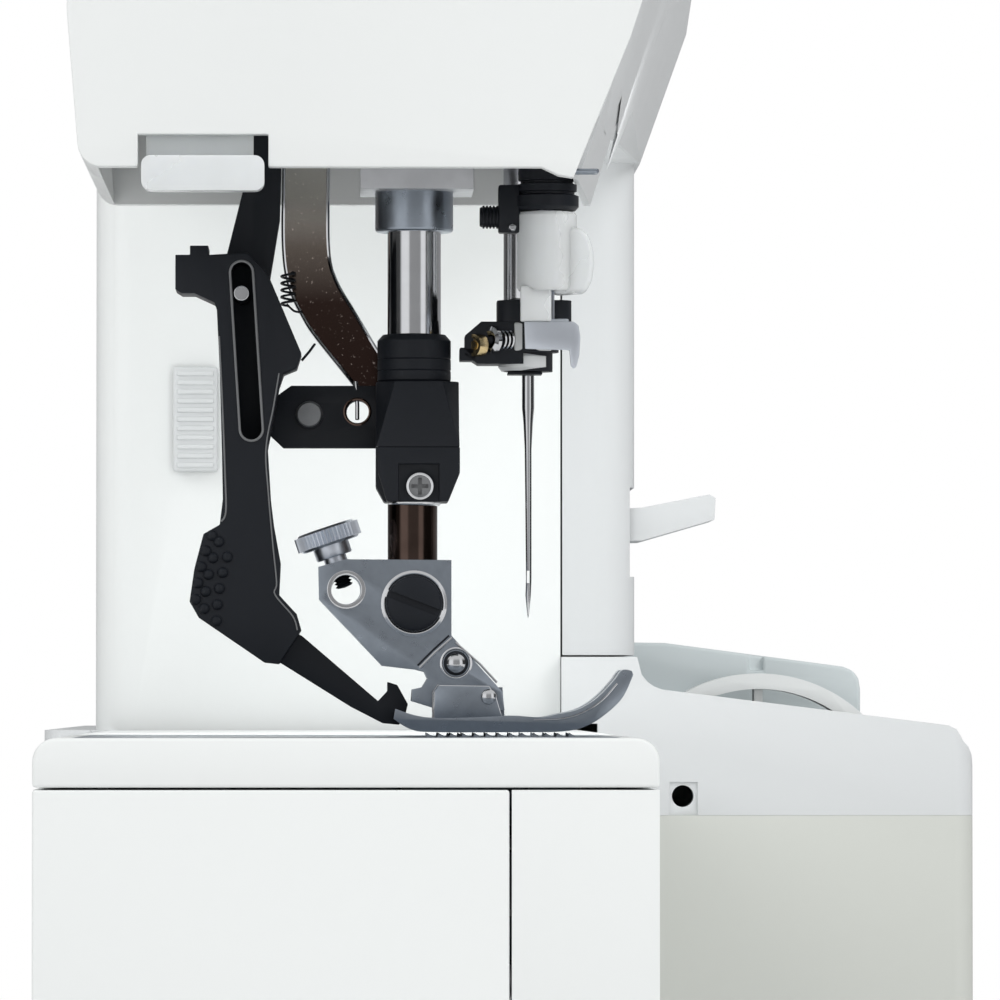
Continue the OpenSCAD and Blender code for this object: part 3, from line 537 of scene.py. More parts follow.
def repeat_tree(name, make_points):
    """A node tree that puts the incoming shape at each of its points."""
    tree = bpy.data.node_groups.new(name, "GeometryNodeTree")
    sockets = (("Geometry", "Geometry"), ("Count", "Int"), ("Start", "Vector"), ("Middle", "Vector"),
               ("End", "Vector"), ("Turn", "Vector"), ("Finish", "Material"))
    for socket, kind in sockets:
        tree.interface.new_socket(socket, in_out="INPUT", socket_type="NodeSocket" + kind)
    tree.interface.new_socket("Geometry", in_out="OUTPUT", socket_type="NodeSocketGeometry")
    entry = tree.nodes.new("NodeGroupInput")
    leave = tree.nodes.new("NodeGroupOutput")
    copies = tree.nodes.new("GeometryNodeInstanceOnPoints")
    real = tree.nodes.new("GeometryNodeRealizeInstances")
    finish = tree.nodes.new("GeometryNodeSetMaterial")
    points = make_points(tree, entry)
    index = tree.nodes.new("GeometryNodeInputIndex")
    angle = tree.nodes.new("ShaderNodeVectorMath")
    angle.operation = "SCALE"
    tree.links.new(entry.outputs["Turn"], angle.inputs[0])
    tree.links.new(index.outputs[0], angle.inputs["Scale"])
    tree.links.new(points, copies.inputs["Points"])
    tree.links.new(entry.outputs["Geometry"], copies.inputs["Instance"])
    tree.links.new(angle.outputs[0], copies.inputs["Rotation"])
    tree.links.new(copies.outputs[0], real.inputs[0])
    tree.links.new(real.outputs[0], finish.inputs["Geometry"])
    tree.links.new(entry.outputs["Finish"], finish.inputs["Material"])
    tree.links.new(finish.outputs[0], leave.inputs[0])
    return tree


def curve_points(tree, entry):
    """Evenly spaced points on a shallow curve from Start past Middle to End."""
    curve = tree.nodes.new("GeometryNodeCurveQuadraticBezier")
    spaced = tree.nodes.new("GeometryNodeResampleCurve")
    tree.links.new(entry.outputs["Start"], curve.inputs["Start"])
    tree.links.new(entry.outputs["Middle"], curve.inputs["Middle"])
    tree.links.new(entry.outputs["End"], curve.inputs["End"])
    tree.links.new(curve.outputs[0], spaced.inputs["Curve"])
    tree.links.new(entry.outputs["Count"], spaced.inputs["Count"])
    return spaced.outputs[0]


def ring_points(tree, entry):
    """Count points all at Start, for shapes that turn round it."""
    line = tree.nodes.new("GeometryNodeMeshLine")
    tree.links.new(entry.outputs["Count"], line.inputs["Count"])
    tree.links.new(entry.outputs["Start"], line.inputs["Start Location"])
    line.inputs["Offset"].default_value = (0, 0, 0)
    return line.outputs[0]


TREES = {}


def repeated(kind, unit, count, start, end=None, middle=None, turn=(0, 0, 0), slot="satin_steel"):
    """Copies of a small mesh, in a row or round a centre, as one mesh. Places in mm."""
    if not TREES:
        TREES.update(
            row=repeat_tree("Repeat in a row", curve_points), ring=repeat_tree("Repeat round", ring_points)
        )
    holder = temporary(unit)
    end = end or start
    middle = middle or tuple((a + b) / 2 for a, b in zip(start, end))
    modifier = holder.modifiers.new("repeat", "NODES")
    modifier.node_group = TREES[kind]
    values = {
        "Count": count, "Start": at(*start), "Middle": at(*middle), "End": at(*end), "Turn": turn,
        "Finish": MATERIALS[slot],
    }
    for item in TREES[kind].interface.items_tree:
        if item.in_out == "INPUT" and item.name in values:
            modifier[item.identifier] = values[item.name]
    mesh = evaluated_mesh(holder)
    bpy.data.objects.remove(holder)
    out = bmesh.new()
    out.from_mesh(mesh)
    bpy.data.meshes.remove(mesh)
    return out


def rim(centre, inner, outer, x, proud=0.12):
    """A rolled bright rim round a hole on a face that looks towards -X."""
    middle = (inner + outer) / 2
    return lathe([(0.2, inner), (-proud * 0.6, inner), (-proud, middle), (-proud * 0.6, outer), (0.2, outer)],
                 (x, *centre))


# ---------------------------------------------------------------- operators


class PieceOperator:
    """What every piece operator shares."""

    bl_options = {"REGISTER", "UNDO"}


class SEWING_OT_casing(PieceOperator, bpy.types.Operator):
    """Make the white and grey covers of the arm, column and base."""

    bl_idname = "sewing.casing"
    bl_label = "Casing"

    def execute(self, context):
        edge = finish_values().casing_edge
        for node in ("rear_casing", "front_panel", "face_cover", "base_lower_cover", "base_upper_cover",
                     "wheel_housing"):
            finish_node(node, edge)
        return {"FINISHED"}


class SEWING_OT_free_arm(PieceOperator, bpy.types.Operator):
    """Make the free arm's covers, door and needle plate."""

    bl_idname = "sewing.free_arm"
    bl_label = "Free arm"

    def execute(self, context):
        edge = finish_values().casing_edge
        for node in ("free_arm_casing", "free_arm_top_cover", "bobbin_door", "free_arm_end_panel"):
            finish_node(node, edge * 0.5)
        finish_node("needle_plate", edge * 0.3)
        return {"FINISHED"}


class SEWING_OT_hook(PieceOperator, bpy.types.Operator):
    """Make the feed dog, rotary hook, bobbin and their shaft."""

    bl_idname = "sewing.hook"
    bl_label = "Hook and feed"

    def execute(self, context):
        edge = finish_values().metal_edge
        for node in ("feed_dog", "feed_carrier", "rotary_hook", "bobbin_case", "bobbin", "hook_shaft",
                     "hook_pulley"):
            finish_node(node, edge * (0.3 if node == "feed_dog" else 1))
        return {"FINISHED"}


class SEWING_OT_drive(PieceOperator, bpy.types.Operator):
    """Make the frame, main shaft, handwheel, motor and belts."""

    bl_idname = "sewing.drive"
    bl_label = "Drive"

    def execute(self, context):
        edge = finish_values().metal_edge
        for node in ("arm_frame", "main_shaft", "crank", "connecting_link", "drive_pulleys", "motor",
                     "motor_pulley", "drive_belts", "handwheel"):
            finish_node(node, edge * (4 if node == "handwheel" else 1.5))
        return {"FINISHED"}


def box_mesh(x0, x1, y0, y1, z0, z1, edge=0.25):
    """A block with rounded edges, in mm."""
    bm = prism([(y0, z0), (y1, z0), (y1, z1), (y0, z1)], x0, x1)
    soften_edges(bm, edge * MM)
    return bm


class SEWING_OT_needle(PieceOperator, bpy.types.Operator):
    """Make the needle bar, clamp, needle and take-up lever."""

    bl_idname = "sewing.needle"
    bl_label = "Needle line"

    def execute(self, context):
        edge = finish_values().metal_edge
        for node in ("needle_bar_frame", "needle_bar", "needle_clamp", "take_up_lever", "thread_guide"):
            finish_node(node, edge)
        needle_line()
        return {"FINISHED"}


def needle_line():
    """The needle with its shank, blade, groove and scarf, and the clamp's screws and hub."""
    x, y, tip = NX, NEEDLE_Y / MM, NEEDLE_LOW.z / MM
    top = NEEDLE_HIGH.z / MM
    outline = [(tip, 0), (tip + 0.5, 0.12), (tip + 3, 0.36), (tip + 5, 0.45), (tip + 22, 0.45),
               (tip + 25.5, 0.62), (tip + 27.5, 0.8), (top - 0.5, 0.8), (top, 0.7), (top, 0)]
    bm = lathe([(z - tip, r) for z, r in outline], (x, y, tip), (0, 0, 1), 32)
    for v in bm.verts:
        z = v.co.z / MM
        if tip + 5 < z < tip + 8.5 and v.co.y > (y + 0.1) * MM:
            v.co.y -= 0.16 * MM
    bm = carved(
        bm,
        prism([(y - 0.18, tip + 4.6), (y + 0.18, tip + 4.6), (y + 0.18, tip + 6.2), (y - 0.18, tip + 6.2)],
              x - 1, x + 1),
        prism([(y - 0.09, tip + 6.4), (y + 0.09, tip + 6.4), (y + 0.09, tip + 26), (y - 0.09, tip + 26)],
              x - 1, x - 0.34),
    )
    mesh_piece("needle_piece", bm, "needle", smooth_angle=40)
    aslant = (0.62, -0.78, 0)
    brass = lathe([(-0.5, 0), (-0.5, 0.55), (-0.25, 0.62), (-0.25, 0.95), (-0.45, 1.05), (-0.45, 1.45),
                   (0.2, 1.5), (0.9, 1.5), (0.9, 0)], (x - 3.6, 8.9, 124.9), aslant)
    mesh_piece("clamp_screws_piece", brass, "clamp_screws")
    detail("clamp_screw_head", lathe([(-0.5, 0.5), (-0.7, 1.2), (-0.5, 1.75), (0, 1.8), (0, 0.5)],
                                     (x - 3.6, 6.6, 125.6), aslant), "needle_bar", "polished_steel")
    for k in range(3):
        detail("clamp_thread_ring_%d" % (k + 1), lathe(
            [(-0.05, 0.9), (-0.12, 1.2), (0, 1.35), (0.12, 1.2), (0.05, 0.9)],
            (x - 3.4, 5.7 - 0.5 * k, 125.6), aslant), "needle_bar", "polished_steel")
    detail("clamp_nose", box_mesh(x - 3.6, x + 1, 8.8, 11.0, 122.9, 124.6, 0.15), "needle_bar", "black_plastic")
    detail("clamp_under_plate", box_mesh(x - 2.2, x + 2.2, 0.2, 4.7, 121.2, 121.5, 0.08),
           "needle_bar", "black_plastic")
    detail("clamp_hub", lathe([(0, 1.0), (0, 3.1), (0.5, 3.5), (1.9, 3.5), (2.4, 3.0), (2.4, 1.0)],
                              (x, y + 0.4, 121.65), (0, 0, 1)), "needle_bar", "milky_plastic")
    detail("clamp_block", box_mesh(x - 3.9, x + 2.4, y - 3.0, y + 1.9, 124.2, 127.9), "needle_bar", "milky_plastic")


class SEWING_OT_threader(PieceOperator, bpy.types.Operator):
    """Make the needle threader and its handle."""

    bl_idname = "sewing.threader"
    bl_label = "Needle threader"

    def execute(self, context):
        edge = finish_values().metal_edge
        finish_node("threader_handle", edge * 2)
        x, y = NX - 8.3, NEEDLE_Y / MM - 2.2
        drum = [(-1.0, 139.9), (-4.2, 139.9), (-5.5, 139.0), (-6.1, 137.2), (-6.3, 135.2), (-6.0, 133.0),
                (-5.2, 131.4), (-1.0, 131.2)]
        drum = prism(drum, x - 2.6, x + 2.6)
        soften_edges(drum, 0.7 * MM, 20, 4)
        tube_body = lathe([(0, 2.1), (0, 3.6), (0.5, 3.9), (9.8, 3.9), (10.2, 3.6), (10.2, 2.1)],
                          (x, y, 131.7), (0, 0, 1))
        tab = box_mesh(x - 3.1, x - 2.0, -0.7, 3.3, 127.6, 132.2)
        mesh_piece("threader_sleeve_piece", joined(drum, tube_body, tab), "threader_sleeve")
        plate = prism([(2.8, 127.6), (-3.6, 127.6), (-4.2, 127.1), (-4.45, 125.6), (-4.3, 123.2), (-3.95, 121.8),
                       (-3.6, 121.5), (-3.2, 121.9), (-3.05, 123.9), (2.7, 124.1)], x - 3.2, x - 2.4)
        soften_edges(plate, 0.12 * MM, 20, 2)
        rod = lathe([(0, 0), (0, 1.0), (5.7, 1.0), (5.8, 2.0), (95.9, 2.0), (96, 0)], (x, y, 126), (0, 0, 1), 24)
        mesh_piece("threader_hook_piece", joined(plate, rod, box_mesh(x - 2.6, x + 1, -3, 2.4, 126.2, 128)),
                   "threader_hook")
        stack = lathe([(0, 2.05), (0, 3.7), (0.5, 4.15), (1.9, 4.15), (2.1, 3.6), (2.4, 3.6), (2.5, 3.9),
                       (3.4, 3.9), (3.5, 3.4), (3.8, 3.4), (3.9, 3.7), (5.4, 3.7), (5.5, 3.5), (5.5, 2.05)],
                      (x, y, 142.1), (0, 0, 1))
        arm = box_mesh(x - 1.6, x + 1.6, 3.3, 6.1, 139.2, 145.4, 0.3)
        knob = [(0, 0), (0, 1.2)]
        for k in range(5):
            knob += [(along + 0.44 * k, radius) for along, radius in (
                (0.15, 1.5), (0.34, 1.5), (0.4, 1.3), (0.5, 1.3))]
        knob += [(2.5, 1.2), (2.5, 0)]
        mesh_piece("threader_collars_piece", joined(stack, arm, lathe(knob, (x, 6.0, 141.3), (0, 1, 0))),
                   "threader_collars")
        detail("threader_arm_screw", lathe([(-0.3, 0), (-0.2, 0.4), (0, 0.55), (0.4, 0.55), (0.4, 0)],
                                           (x - 1.6, 4.3, 139.9)), "threader", "polished_steel")
        return {"FINISHED"}


class SEWING_OT_presser(PieceOperator, bpy.types.Operator):
    """Make the presser bar, ankle, sole and their screws."""

    bl_idname = "sewing.presser"
    bl_label = "Presser foot"

    def execute(self, context):
        edge = finish_values().metal_edge
        for node in ("presser_bar", "presser_bush"):
            finish_node(node, edge * 2)
        presser_clamp()
        ankle_and_screws(edge)
        knurled_thumb_screw()
        sole(edge)
        return {"FINISHED"}


def presser_clamp():
    """The black block on the presser bar: its collar, leaning facets, recess and cross-headed screw."""
    x = NX
    full = [(21.9, 120.2), (11.1, 120.2), (11.0, 108.2), (12.5, 104.5), (20.8, 104.5), (21.9, 106.5)]
    lower = [(21.7, 111.6), (11.0, 111.6), (11.0, 108.2), (12.5, 104.5), (20.5, 104.5), (21.6, 108.2)]
    body = prism(full, x - 2.4, x + 5.4)
    ramp = prism([(21.9, 120.2), (11.1, 120.2), (11.0, 111.6), (21.9, 111.6)], x - 2.4, x - 5.5)
    for v in ramp.verts:
        if v.co.x < (x - 5) * MM and v.co.z > 0.119:
            v.co.y = (19.4 if v.co.y > 0.016 else 13.3) * MM
    toe = prism(lower, x - 5.5, x - 2.4)
    toe = carved(toe, prism([(19.0, 104), (13.7, 104), (13.7, 109.4), (19.0, 109.4)], x - 6, x - 4.5))
    for part in (body, ramp, toe):
        soften_edges(part, 0.18 * MM, 20, 2)
    collar = lathe([(0, 3.4), (0, 4.6), (0.25, 4.8), (1.4, 4.8), (1.5, 4.7), (1.6, 4.8), (2.9, 4.8), (3.0, 4.7),
                    (3.1, 4.8), (5.4, 4.8), (6.2, 4.1), (6.2, 3.4)], (x, 16.9, 120.2), (0, 0, 1))
    mesh_piece("presser_block_piece", joined(body, ramp, toe, collar), "presser_block")
    screw = carved(
        lathe([(-0.9, 0), (-0.9, 1.1), (-0.6, 1.55), (0.4, 1.6), (0.4, 0)], (x - 4.55, 16.2, 106.5)),
        prism([(15.95, 105.4), (16.45, 105.4), (16.45, 107.6), (15.95, 107.6)], x - 6, x - 4.9),
        prism([(15.1, 106.25), (17.3, 106.25), (17.3, 106.75), (15.1, 106.75)], x - 6, x - 4.9),
    )
    detail("block_screw", screw, "presser_bar", "black_edge")
    detail("block_screw_rim", rim((16.2, 106.5), 1.45, 1.75, x - 5.2, 0.15), "presser_bar", "polished_steel")


def ankle_and_screws(edge):
    """The ankle plate with its bright edges, the big slotted screw and the rims of its holes."""
    x = NX - 5.5
    finish_node("ankle", edge * 1.2, bright="polished_steel")
    detail("shank", lathe([(0, 0), (0, 3.25), (7.4, 3.25), (7.4, 0)], (NX, 17.1, 96.9), (0, 0, 1)),
           "presser_bar", "brown_nickel")
    head = carved(
        lathe([(-0.75, 0), (-0.75, 3.0), (-0.45, 3.5), (0.3, 3.6), (0.3, 0)], (x - 0.2, 16.95, 91.25)),
        turned_slot(x, 16.95, 91.25, 0.45, 21),
    )
    mesh_piece("presser_screws_piece", joined(
        head, lathe([(-0.2, 0), (-0.2, 1.3), (0.4, 1.6), (0.4, 0)], (x - 0.5, 11.5, 83.5))), "presser_screws",
        slot="black_plastic")
    for name, centre, inner, outer, proud in (
        ("ankle_screw_rim", (16.95, 91.25), 3.62, 4.3, 0.4),
        ("seam_guide_rim", (25.75, 93.05), 1.95, 2.5, 0.2),
        ("pivot_rim", (11.5, 83.5), 1.75, 2.1, 0.18),
    ):
        detail(name, rim(centre, inner, outer, x, proud), "presser_bar", "polished_steel")
    dome = [(-1.5 + 1.5 * (1 - math.cos(a * math.pi / 16)), 1.5 * math.sin(a * math.pi / 16)) for a in range(9)]
    dome = [(along * 0.7 - 0.1, radius) for along, radius in dome] + [(0.3, 1.5), (0.3, 0)]
    detail("pivot_dome", lathe(dome, (x, 11.5, 83.5)), "presser_bar", "polished_steel")
    for name, slot, radius, points in (
        ("ankle_parting_line", "polished_steel", 0.2, ((12.0, 86.8), (14.2, 84.9), (16.2, 82.9))),
        ("ankle_parting_groove", "black_plastic", 0.13, ((12.4, 87.1), (14.5, 85.2), (16.5, 83.2))),
        ("ankle_front_line", "polished_steel", 0.16, ((11.6, 86.2), (8.4, 83.4), (6.2, 81.0))),
    ):
        detail(name, tube([(x - 0.02, *p) for p in points], radius), "presser_bar", slot)


def turned_slot(x, y, z, half, degrees):
    """A cutter for a screwdriver slot, turned from level."""
    c, s = math.cos(math.radians(degrees)), math.sin(math.radians(degrees))
    corners = [(-5, -half), (5, -half), (5, half), (-5, half)]
    return prism([(y + a * c - b * s, z + a * s + b * c) for a, b in corners], x - 3, x - 0.45)


def knurled_thumb_screw():
    """The ankle's thumb screw: tilted, with a knurled head, a neck and a threaded tip."""
    axis = Vector((0, 0.31896, 0.94777))
    centre = (NX, 25.8, 93.05)
    neck = lathe([(2.1, 0), (2.1, 1.5), (4.6, 1.5), (4.6, 2.3), (4.8, 2.4), (6.2, 2.4), (6.2, 3.7), (6.5, 3.95),
                  (8.3, 3.95), (8.6, 3.6), (8.6, 0)], centre, axis)
    mesh_piece("thumb_screw_piece", neck, "thumb_screw")
    tooth = bmesh.new()
    ring = [(3.85, -0.26), (4.32, 0), (3.85, 0.26)]
    low = [tooth.verts.new(at(6.5, r, t)) for r, t in ring]
    high = [tooth.verts.new(at(8.3, r, t)) for r, t in ring]
    tooth.faces.new(low)
    tooth.faces.new(high)
    for i in range(3):
        tooth.faces.new((low[i], low[(i + 1) % 3], high[(i + 1) % 3], high[i]))
    bmesh.ops.recalc_face_normals(tooth, faces=tooth.faces)
    count = 44
    knurl = repeated("ring", tooth, count, (0, 0, 0), turn=(2 * math.pi / count, 0, 0), slot="satin_steel")
    turn = axis.to_track_quat("X", "Z").to_matrix().to_4x4()
    bmesh.ops.transform(knurl, matrix=Matrix.Translation(at(*centre)) @ turn, verts=knurl.verts)
    detail("thumb_screw_knurl", knurl, "thumb_screw", "pale_steel", 20)
    rings = [(0.35, 0)]
    for k in range(4):
        rings += [(0.45 + 0.45 * k, 0.85), (0.65 + 0.45 * k, 1.2)]
    rings += [(2.2, 1.2), (2.2, 0)]
    detail("thumb_screw_thread", lathe(rings, centre, axis), "thumb_screw", "black_plastic")


def sole(edge):
    """The sole: a smooth upturned toe, a thick body, the cheek and the pin head."""
    x = NX
    under = smooth_line([(19.6, 76.3), (17.4, 74.95), (14.5, 74.58), (4, 74.56), (-2.6, 74.7), (-5.8, 75.6),
                         (-8.3, 77.3), (-10.1, 79.2), (-11.4, 82.0)], 7)
    over = smooth_line([(-11.2, 82.5), (-10.0, 82.6), (-8.8, 81.1), (-6.6, 78.9), (-4.2, 77.5), (-1.6, 76.9),
                        (0.6, 76.5), (4.2, 76.7), (9, 76.5), (14.2, 76.4), (17, 76.8), (19.4, 77.6)], 7)
    body = carved(
        prism(under + over, x - 8.5, x + 8.5),
        box_mesh(x - 1.6, x + 1.6, -14, 0.2, 70, 90, 0),
        lathe([(-8, 0), (-8, 3.4), (10, 3.4), (10, 0)], (x, 2, 76), (0, 0, 1), 32),
        box_mesh(x - 5.2, x + 5.2, 0.1, 3.9, 70, 90, 0),
        box_mesh(x - 2.4, x + 2.4, 15, 24, 70, 90, 0),
    )
    soften_edges(body, edge * 0.9, 25, 2, 1)
    for face in body.faces:
        if face.material_index > 1:
            face.material_index = 1
    cheek = prism([(14.4, 76.2), (14.4, 80.0), (13.8, 80.7), (7.2, 80.6), (6.3, 79.2), (5.4, 76.2)],
                  x - 6.0, x - 5.55)
    soften_edges(cheek, 0.12 * MM, 25, 2, 1)
    hanger = prism([(14.4, 76), (14.2, 77.2), (9.4, 80.4), (5.4, 80.4), (5.1, 76)], x - 2.4, x + 2.4)
    piece = mesh_piece("presser_sole_piece", joined(body, cheek, hanger), "presser_sole")
    piece.data.materials.append(MATERIALS["polished_steel"])
    detail("cheek_edge", tube([(x - 6.0, 14.5, 76.2), (x - 6.0, 14.5, 79.8), (x - 6.0, 13.8, 80.8)], 0.14),
           "presser_sole", "polished_steel")
    detail("toe_line", tube([(x - 8.5, y, z + 1.25) for y, z in smooth_line(
        [(1.5, 74.9), (-2.2, 75.05), (-5.0, 75.9), (-7.4, 77.5), (-9.3, 79.6)], 6)], 0.13),
        "presser_sole", "polished_steel")
    pin = lathe([(-0.4, 0), (-0.4, 0.8), (-0.1, 1.0), (0.4, 1.0), (0.4, 0)], (x - 6.0, 7.3, 79.15))
    mesh_piece("foot_pin_piece", joined(pin, merged_copy("foot_pin")), "foot_pin")


class SEWING_OT_top_feed(PieceOperator, bpy.types.Operator):
    """Make the top-feed arm, its link, bracket and lever."""

    bl_idname = "sewing.top_feed"
    bl_label = "Top feed"

    def execute(self, context):
        edge = finish_values().metal_edge
        finish_node("feed_link", edge * 2)
        finish_node("feed_link_pin", edge * 0.5)
        finish_node("feed_arm", edge * 1.6)
        feed_arm_details()
        lift_lever()
        lift_bracket(edge)
        return {"FINISHED"}


def feed_arm_details():
    """The raised rim of the slot and the grip studs on the pad."""
    x = NX - 4.5
    top, low, radius = (39.4, 134.3), (38.1, 113.9), 1.5
    loop = []
    for centre, first in ((top, 0), (low, 180)):
        for k in range(13):
            a = math.radians(first + 15 * k)
            loop.append((x - 0.05, centre[0] + radius * math.cos(a), centre[1] + radius * math.sin(a)))
    detail("slot_rim", tube(loop, 0.17, 8, True), "feed_arm", "black_edge")
    edge_lines = (
        ("arm_edge_line", 0.12, [(42.3, 126), (41.9, 118), (41.5, 108), (41.4, 103.2), (42.0, 101.9)]),
        ("arm_front_line", 0.1, [(34.5, 121.2), (35.2, 117), (36.2, 111.4), (35.9, 105.8), (35.3, 99),
                                 (34.8, 94), (35, 92.4), (32.7, 89.6), (32.1, 87.8)]),
    )
    for name, thickness, points in edge_lines:
        line = tube([(x - 0.02, y, z) for y, z in smooth_line(points, 6)], thickness)
        detail(name, line, "feed_arm", "black_edge")
    rows = (((43.2, 100.1), (44.8, 96.6), (45.3, 91.8)), ((42.3, 99.3), (44.0, 95.2), (44.2, 90.6)),
            ((41.2, 97.3), (42.5, 93.6), (42.6, 89.0)))
    for number, (start, middle, end) in enumerate(rows):
        stud = lathe([(-0.5, 0), (-0.46, 0.3), (-0.3, 0.6), (0, 0.74), (0.2, 0.74), (0.2, 0)], (0, 0, 0), steps=20)
        studs = repeated("row", stud, 5, (x, *start), (x, *end), (x, *middle), slot="black_plastic")
        detail("grip_studs_%d" % (number + 1), studs, "feed_arm", "black_plastic", 60)


def lift_lever():
    """The curved lever of the presser bar: a polished plate whose painted reflection is dark low down, with bright
    rolled edges.
    """
    rear = smooth_line([(34.15, 170), (34.15, 150), (34.15, 138.4), (33.3, 133.0), (31.5, 129.1), (29.8, 126.5),
                        (25.4, 121.0), (21.8, 116.4)], 9)
    front = smooth_line([(28.0, 170), (28.0, 150), (28.0, 138.6), (27.0, 134.1), (24.4, 129.6), (21.8, 125.2),
                         (18.9, 121.0), (16.2, 116.4)], 9)
    plate = prism(rear + front[::-1], NX + 9.0, NX + 11.4)
    # the plate takes the lever material with its painted reflection
    mesh_piece("feed_lift_lever_piece", plate, "feed_lift_lever", smooth_angle=30)
    for name, line, shift in (("lever_rear_edge", rear, -0.14), ("lever_front_edge", front, 0.14)):
        bead = tube([(NX + 9.0, y + shift, z) for y, z in line], 0.26, 8)
        detail(name, bead, "presser_bar", "polished_steel")
    detail("lever_boss", lathe([(0, 0), (0, 1.8), (1.6, 1.8), (1.6, 0)], (NX + 7.4, 18.6, 118.2)), "presser_bar",
           "satin_steel")


def lift_bracket(edge):
    """The black bracket with its rivet, the spring in its hole and the small coil behind it."""
    x = NX + 5.4
    finish_node("feed_bracket", edge)
    rivet = lathe([(-0.95, 0), (-0.95, 1.5), (-0.7, 1.75), (0.2, 1.8), (0.2, 0)], (x, 30.6, 116.2))
    detail("bracket_rivet", rivet, "presser_bar", "grey_metal")
    detail("bracket_hole_rim", rim((24.3, 116.6), 1.5, 1.85, x, 0.15), "presser_bar", "brown_nickel")
    wire = tube([(x + 1.0, 24.3, 115.6), (x + 0.4, 24.3, 117.5), (x + 0.2, 24.5, 120.6)], 0.28)
    detail("bracket_spring_wire", wire, "presser_bar", "polished_steel")
    coil = []
    for k in range(60):
        a = 2 * math.pi * k / 12
        coil.append((NX + 6.6 + 0.9 * math.cos(a), 33.4 + 0.9 * math.sin(a), 130.6 + 0.9 * k / 12))
    detail("lever_spring", tube(coil, 0.17, 6), "presser_bar", "black_plastic")
    tail = smooth_line([(NX + 6.6, 33.6, 130.8), (NX + 7, 32.6, 129.9), (NX + 7.6, 31.6, 129.8)], 4)
    detail("lever_spring_tail", tube(tail, 0.15, 6), "presser_bar", "black_plastic")
    detail("lever_wire", tube([(NX + 7, 31.6, 123.4), (NX + 7.4, 30.6, 124.6), (NX + 8, 29.9, 125.6)], 0.18, 6),
           "presser_bar", "black_plastic")


def slide_ribs():
    """Finger ribs on the feed-drop slide."""
    x = place("feed_drop_slide")[0].x / MM
    rib = box_mesh(-0.35, 0.3, -2.9, 2.9, -0.4, 0.4, 0.22)
    ribs = repeated("row", rib, 11, (x, 49, 115.3), (x, 49, 129.6), slot="grey_plastic")
    detail("slide_ribs", ribs, "feed_drop_slide", "grey_plastic")


def panel_lining():
    """Thin lining behind the front panel where it spreads from the head's outline to the arm's."""
    stations = (
        (-185.4, (-23.4, 204.5), (-9.4, 162.4), (-3.6, 146.2), (-3.4, 146.2)),
        (-136.0, (-24.4, 199.6), (-12.0, 162.5), (-7.0, 146.2), (-6.4, 146.2)),
        (-90.0, (-25.4, 194.6), (-14.5, 162.6), (-10.9, 159.4), (-8.2, 159.4)),
        (19.5, (-27.4, 183.6), (-20.1, 163.4), (-20.0, 163.5), (-8.2, 163.5)),
    )
    bm = bmesh.new()
    rows = [[bm.verts.new((x * MM, y * MM, z * MM)) for y, z in points] for x, *points in stations]
    for near, far in zip(rows, rows[1:]):
        for k in range(3):
            bm.faces.new((near[k], near[k + 1], far[k + 1], far[k]))
    bmesh.ops.recalc_face_normals(bm, faces=bm.faces)
    bmesh.ops.solidify(bm, geom=bm.faces[:], thickness=0.5 * MM)
    bmesh.ops.recalc_face_normals(bm, faces=bm.faces)
    detail("front_panel_lining", bm, BODY_OF["front_panel"], SLOT_OF["front_panel"])


def wheel_grips():
    """Grip ribs round the handwheel and the tension dial."""
    wheels = (("handwheel", "main_shaft", 60, 2.0), ("tension_dial", "tension_dial", 40, 0.8))
    for node, body, count, inset in wheels:
        low, high = place(node)
        centre = (low + high) / 2 / MM
        radius = (high.z - low.z) / 2 / MM
        half = (high.x - low.x) / 2 / MM - inset
        rib = box_mesh(-half, half, -0.4, 0.4, radius - 0.35, radius + 0.12, 0.12)
        ribs = repeated("ring", rib, count, tuple(centre), turn=(2 * math.pi / count, 0, 0), slot=SLOT_OF[node])
        detail(node + "_grips", ribs, body, SLOT_OF[node])


class SEWING_OT_controls(PieceOperator, bpy.types.Operator):
    """Make the small controls, the handle, the feet and the power socket."""

    bl_idname = "sewing.controls"
    bl_label = "Controls"

    def execute(self, context):
        edge = finish_values().casing_edge * 0.5
        wheel_grips()
        panel_lining()
        for node in ("feed_drop_slide", "reverse_lever", "selector_wheel", "tension_dial", "spool_pin",
                     "carrying_handle", "power_socket", "power_switch", "rubber_feet"):
            finish_node(node, edge)
        slide_ribs()
        return {"FINISHED"}


class SEWING_OT_studio(PieceOperator, bpy.types.Operator):
    """Make the floor, the soft light and the camera."""

    bl_idname = "sewing.studio"
    bl_label = "Studio"

    def execute(self, context):
        scene = context.scene
        values = studio_values()
        make_floor()
        make_world(scene, values.fill)
        soft_light("key_light", Vector((-0.9, -1.1, 1.3)), 1.0, 16)
        soft_light("rim_light", Vector((-0.6, 1.2, 1.0)), 0.9, 9)
        even_light("front_light", Vector((1.0, 0.12, -0.22)), 0.32, 70)
        even_light("low_front_light", Vector((1.0, 0.05, 0.02)), 0.36, 24)
        sewing_lamp(Vector((-0.125, 0.02, 0.118)), 0.09, 0.056)
        camera_data = bpy.data.cameras.new("camera")
        camera_data.sensor_width = 36
        camera_data.lens = values.lens
        camera_data.clip_start = 0.01
        camera_data.clip_end = 50
        camera = bpy.data.objects.new("camera", camera_data)
        camera.location = values.camera_place
        camera.rotation_mode = "QUATERNION"
        camera.rotation_quaternion = Vector(values.aim).to_track_quat("-Z", "Y")
        scene.collection.objects.link(camera)
        scene.camera = camera
        scene.view_settings.view_transform = "Standard"
        return {"FINISHED"}


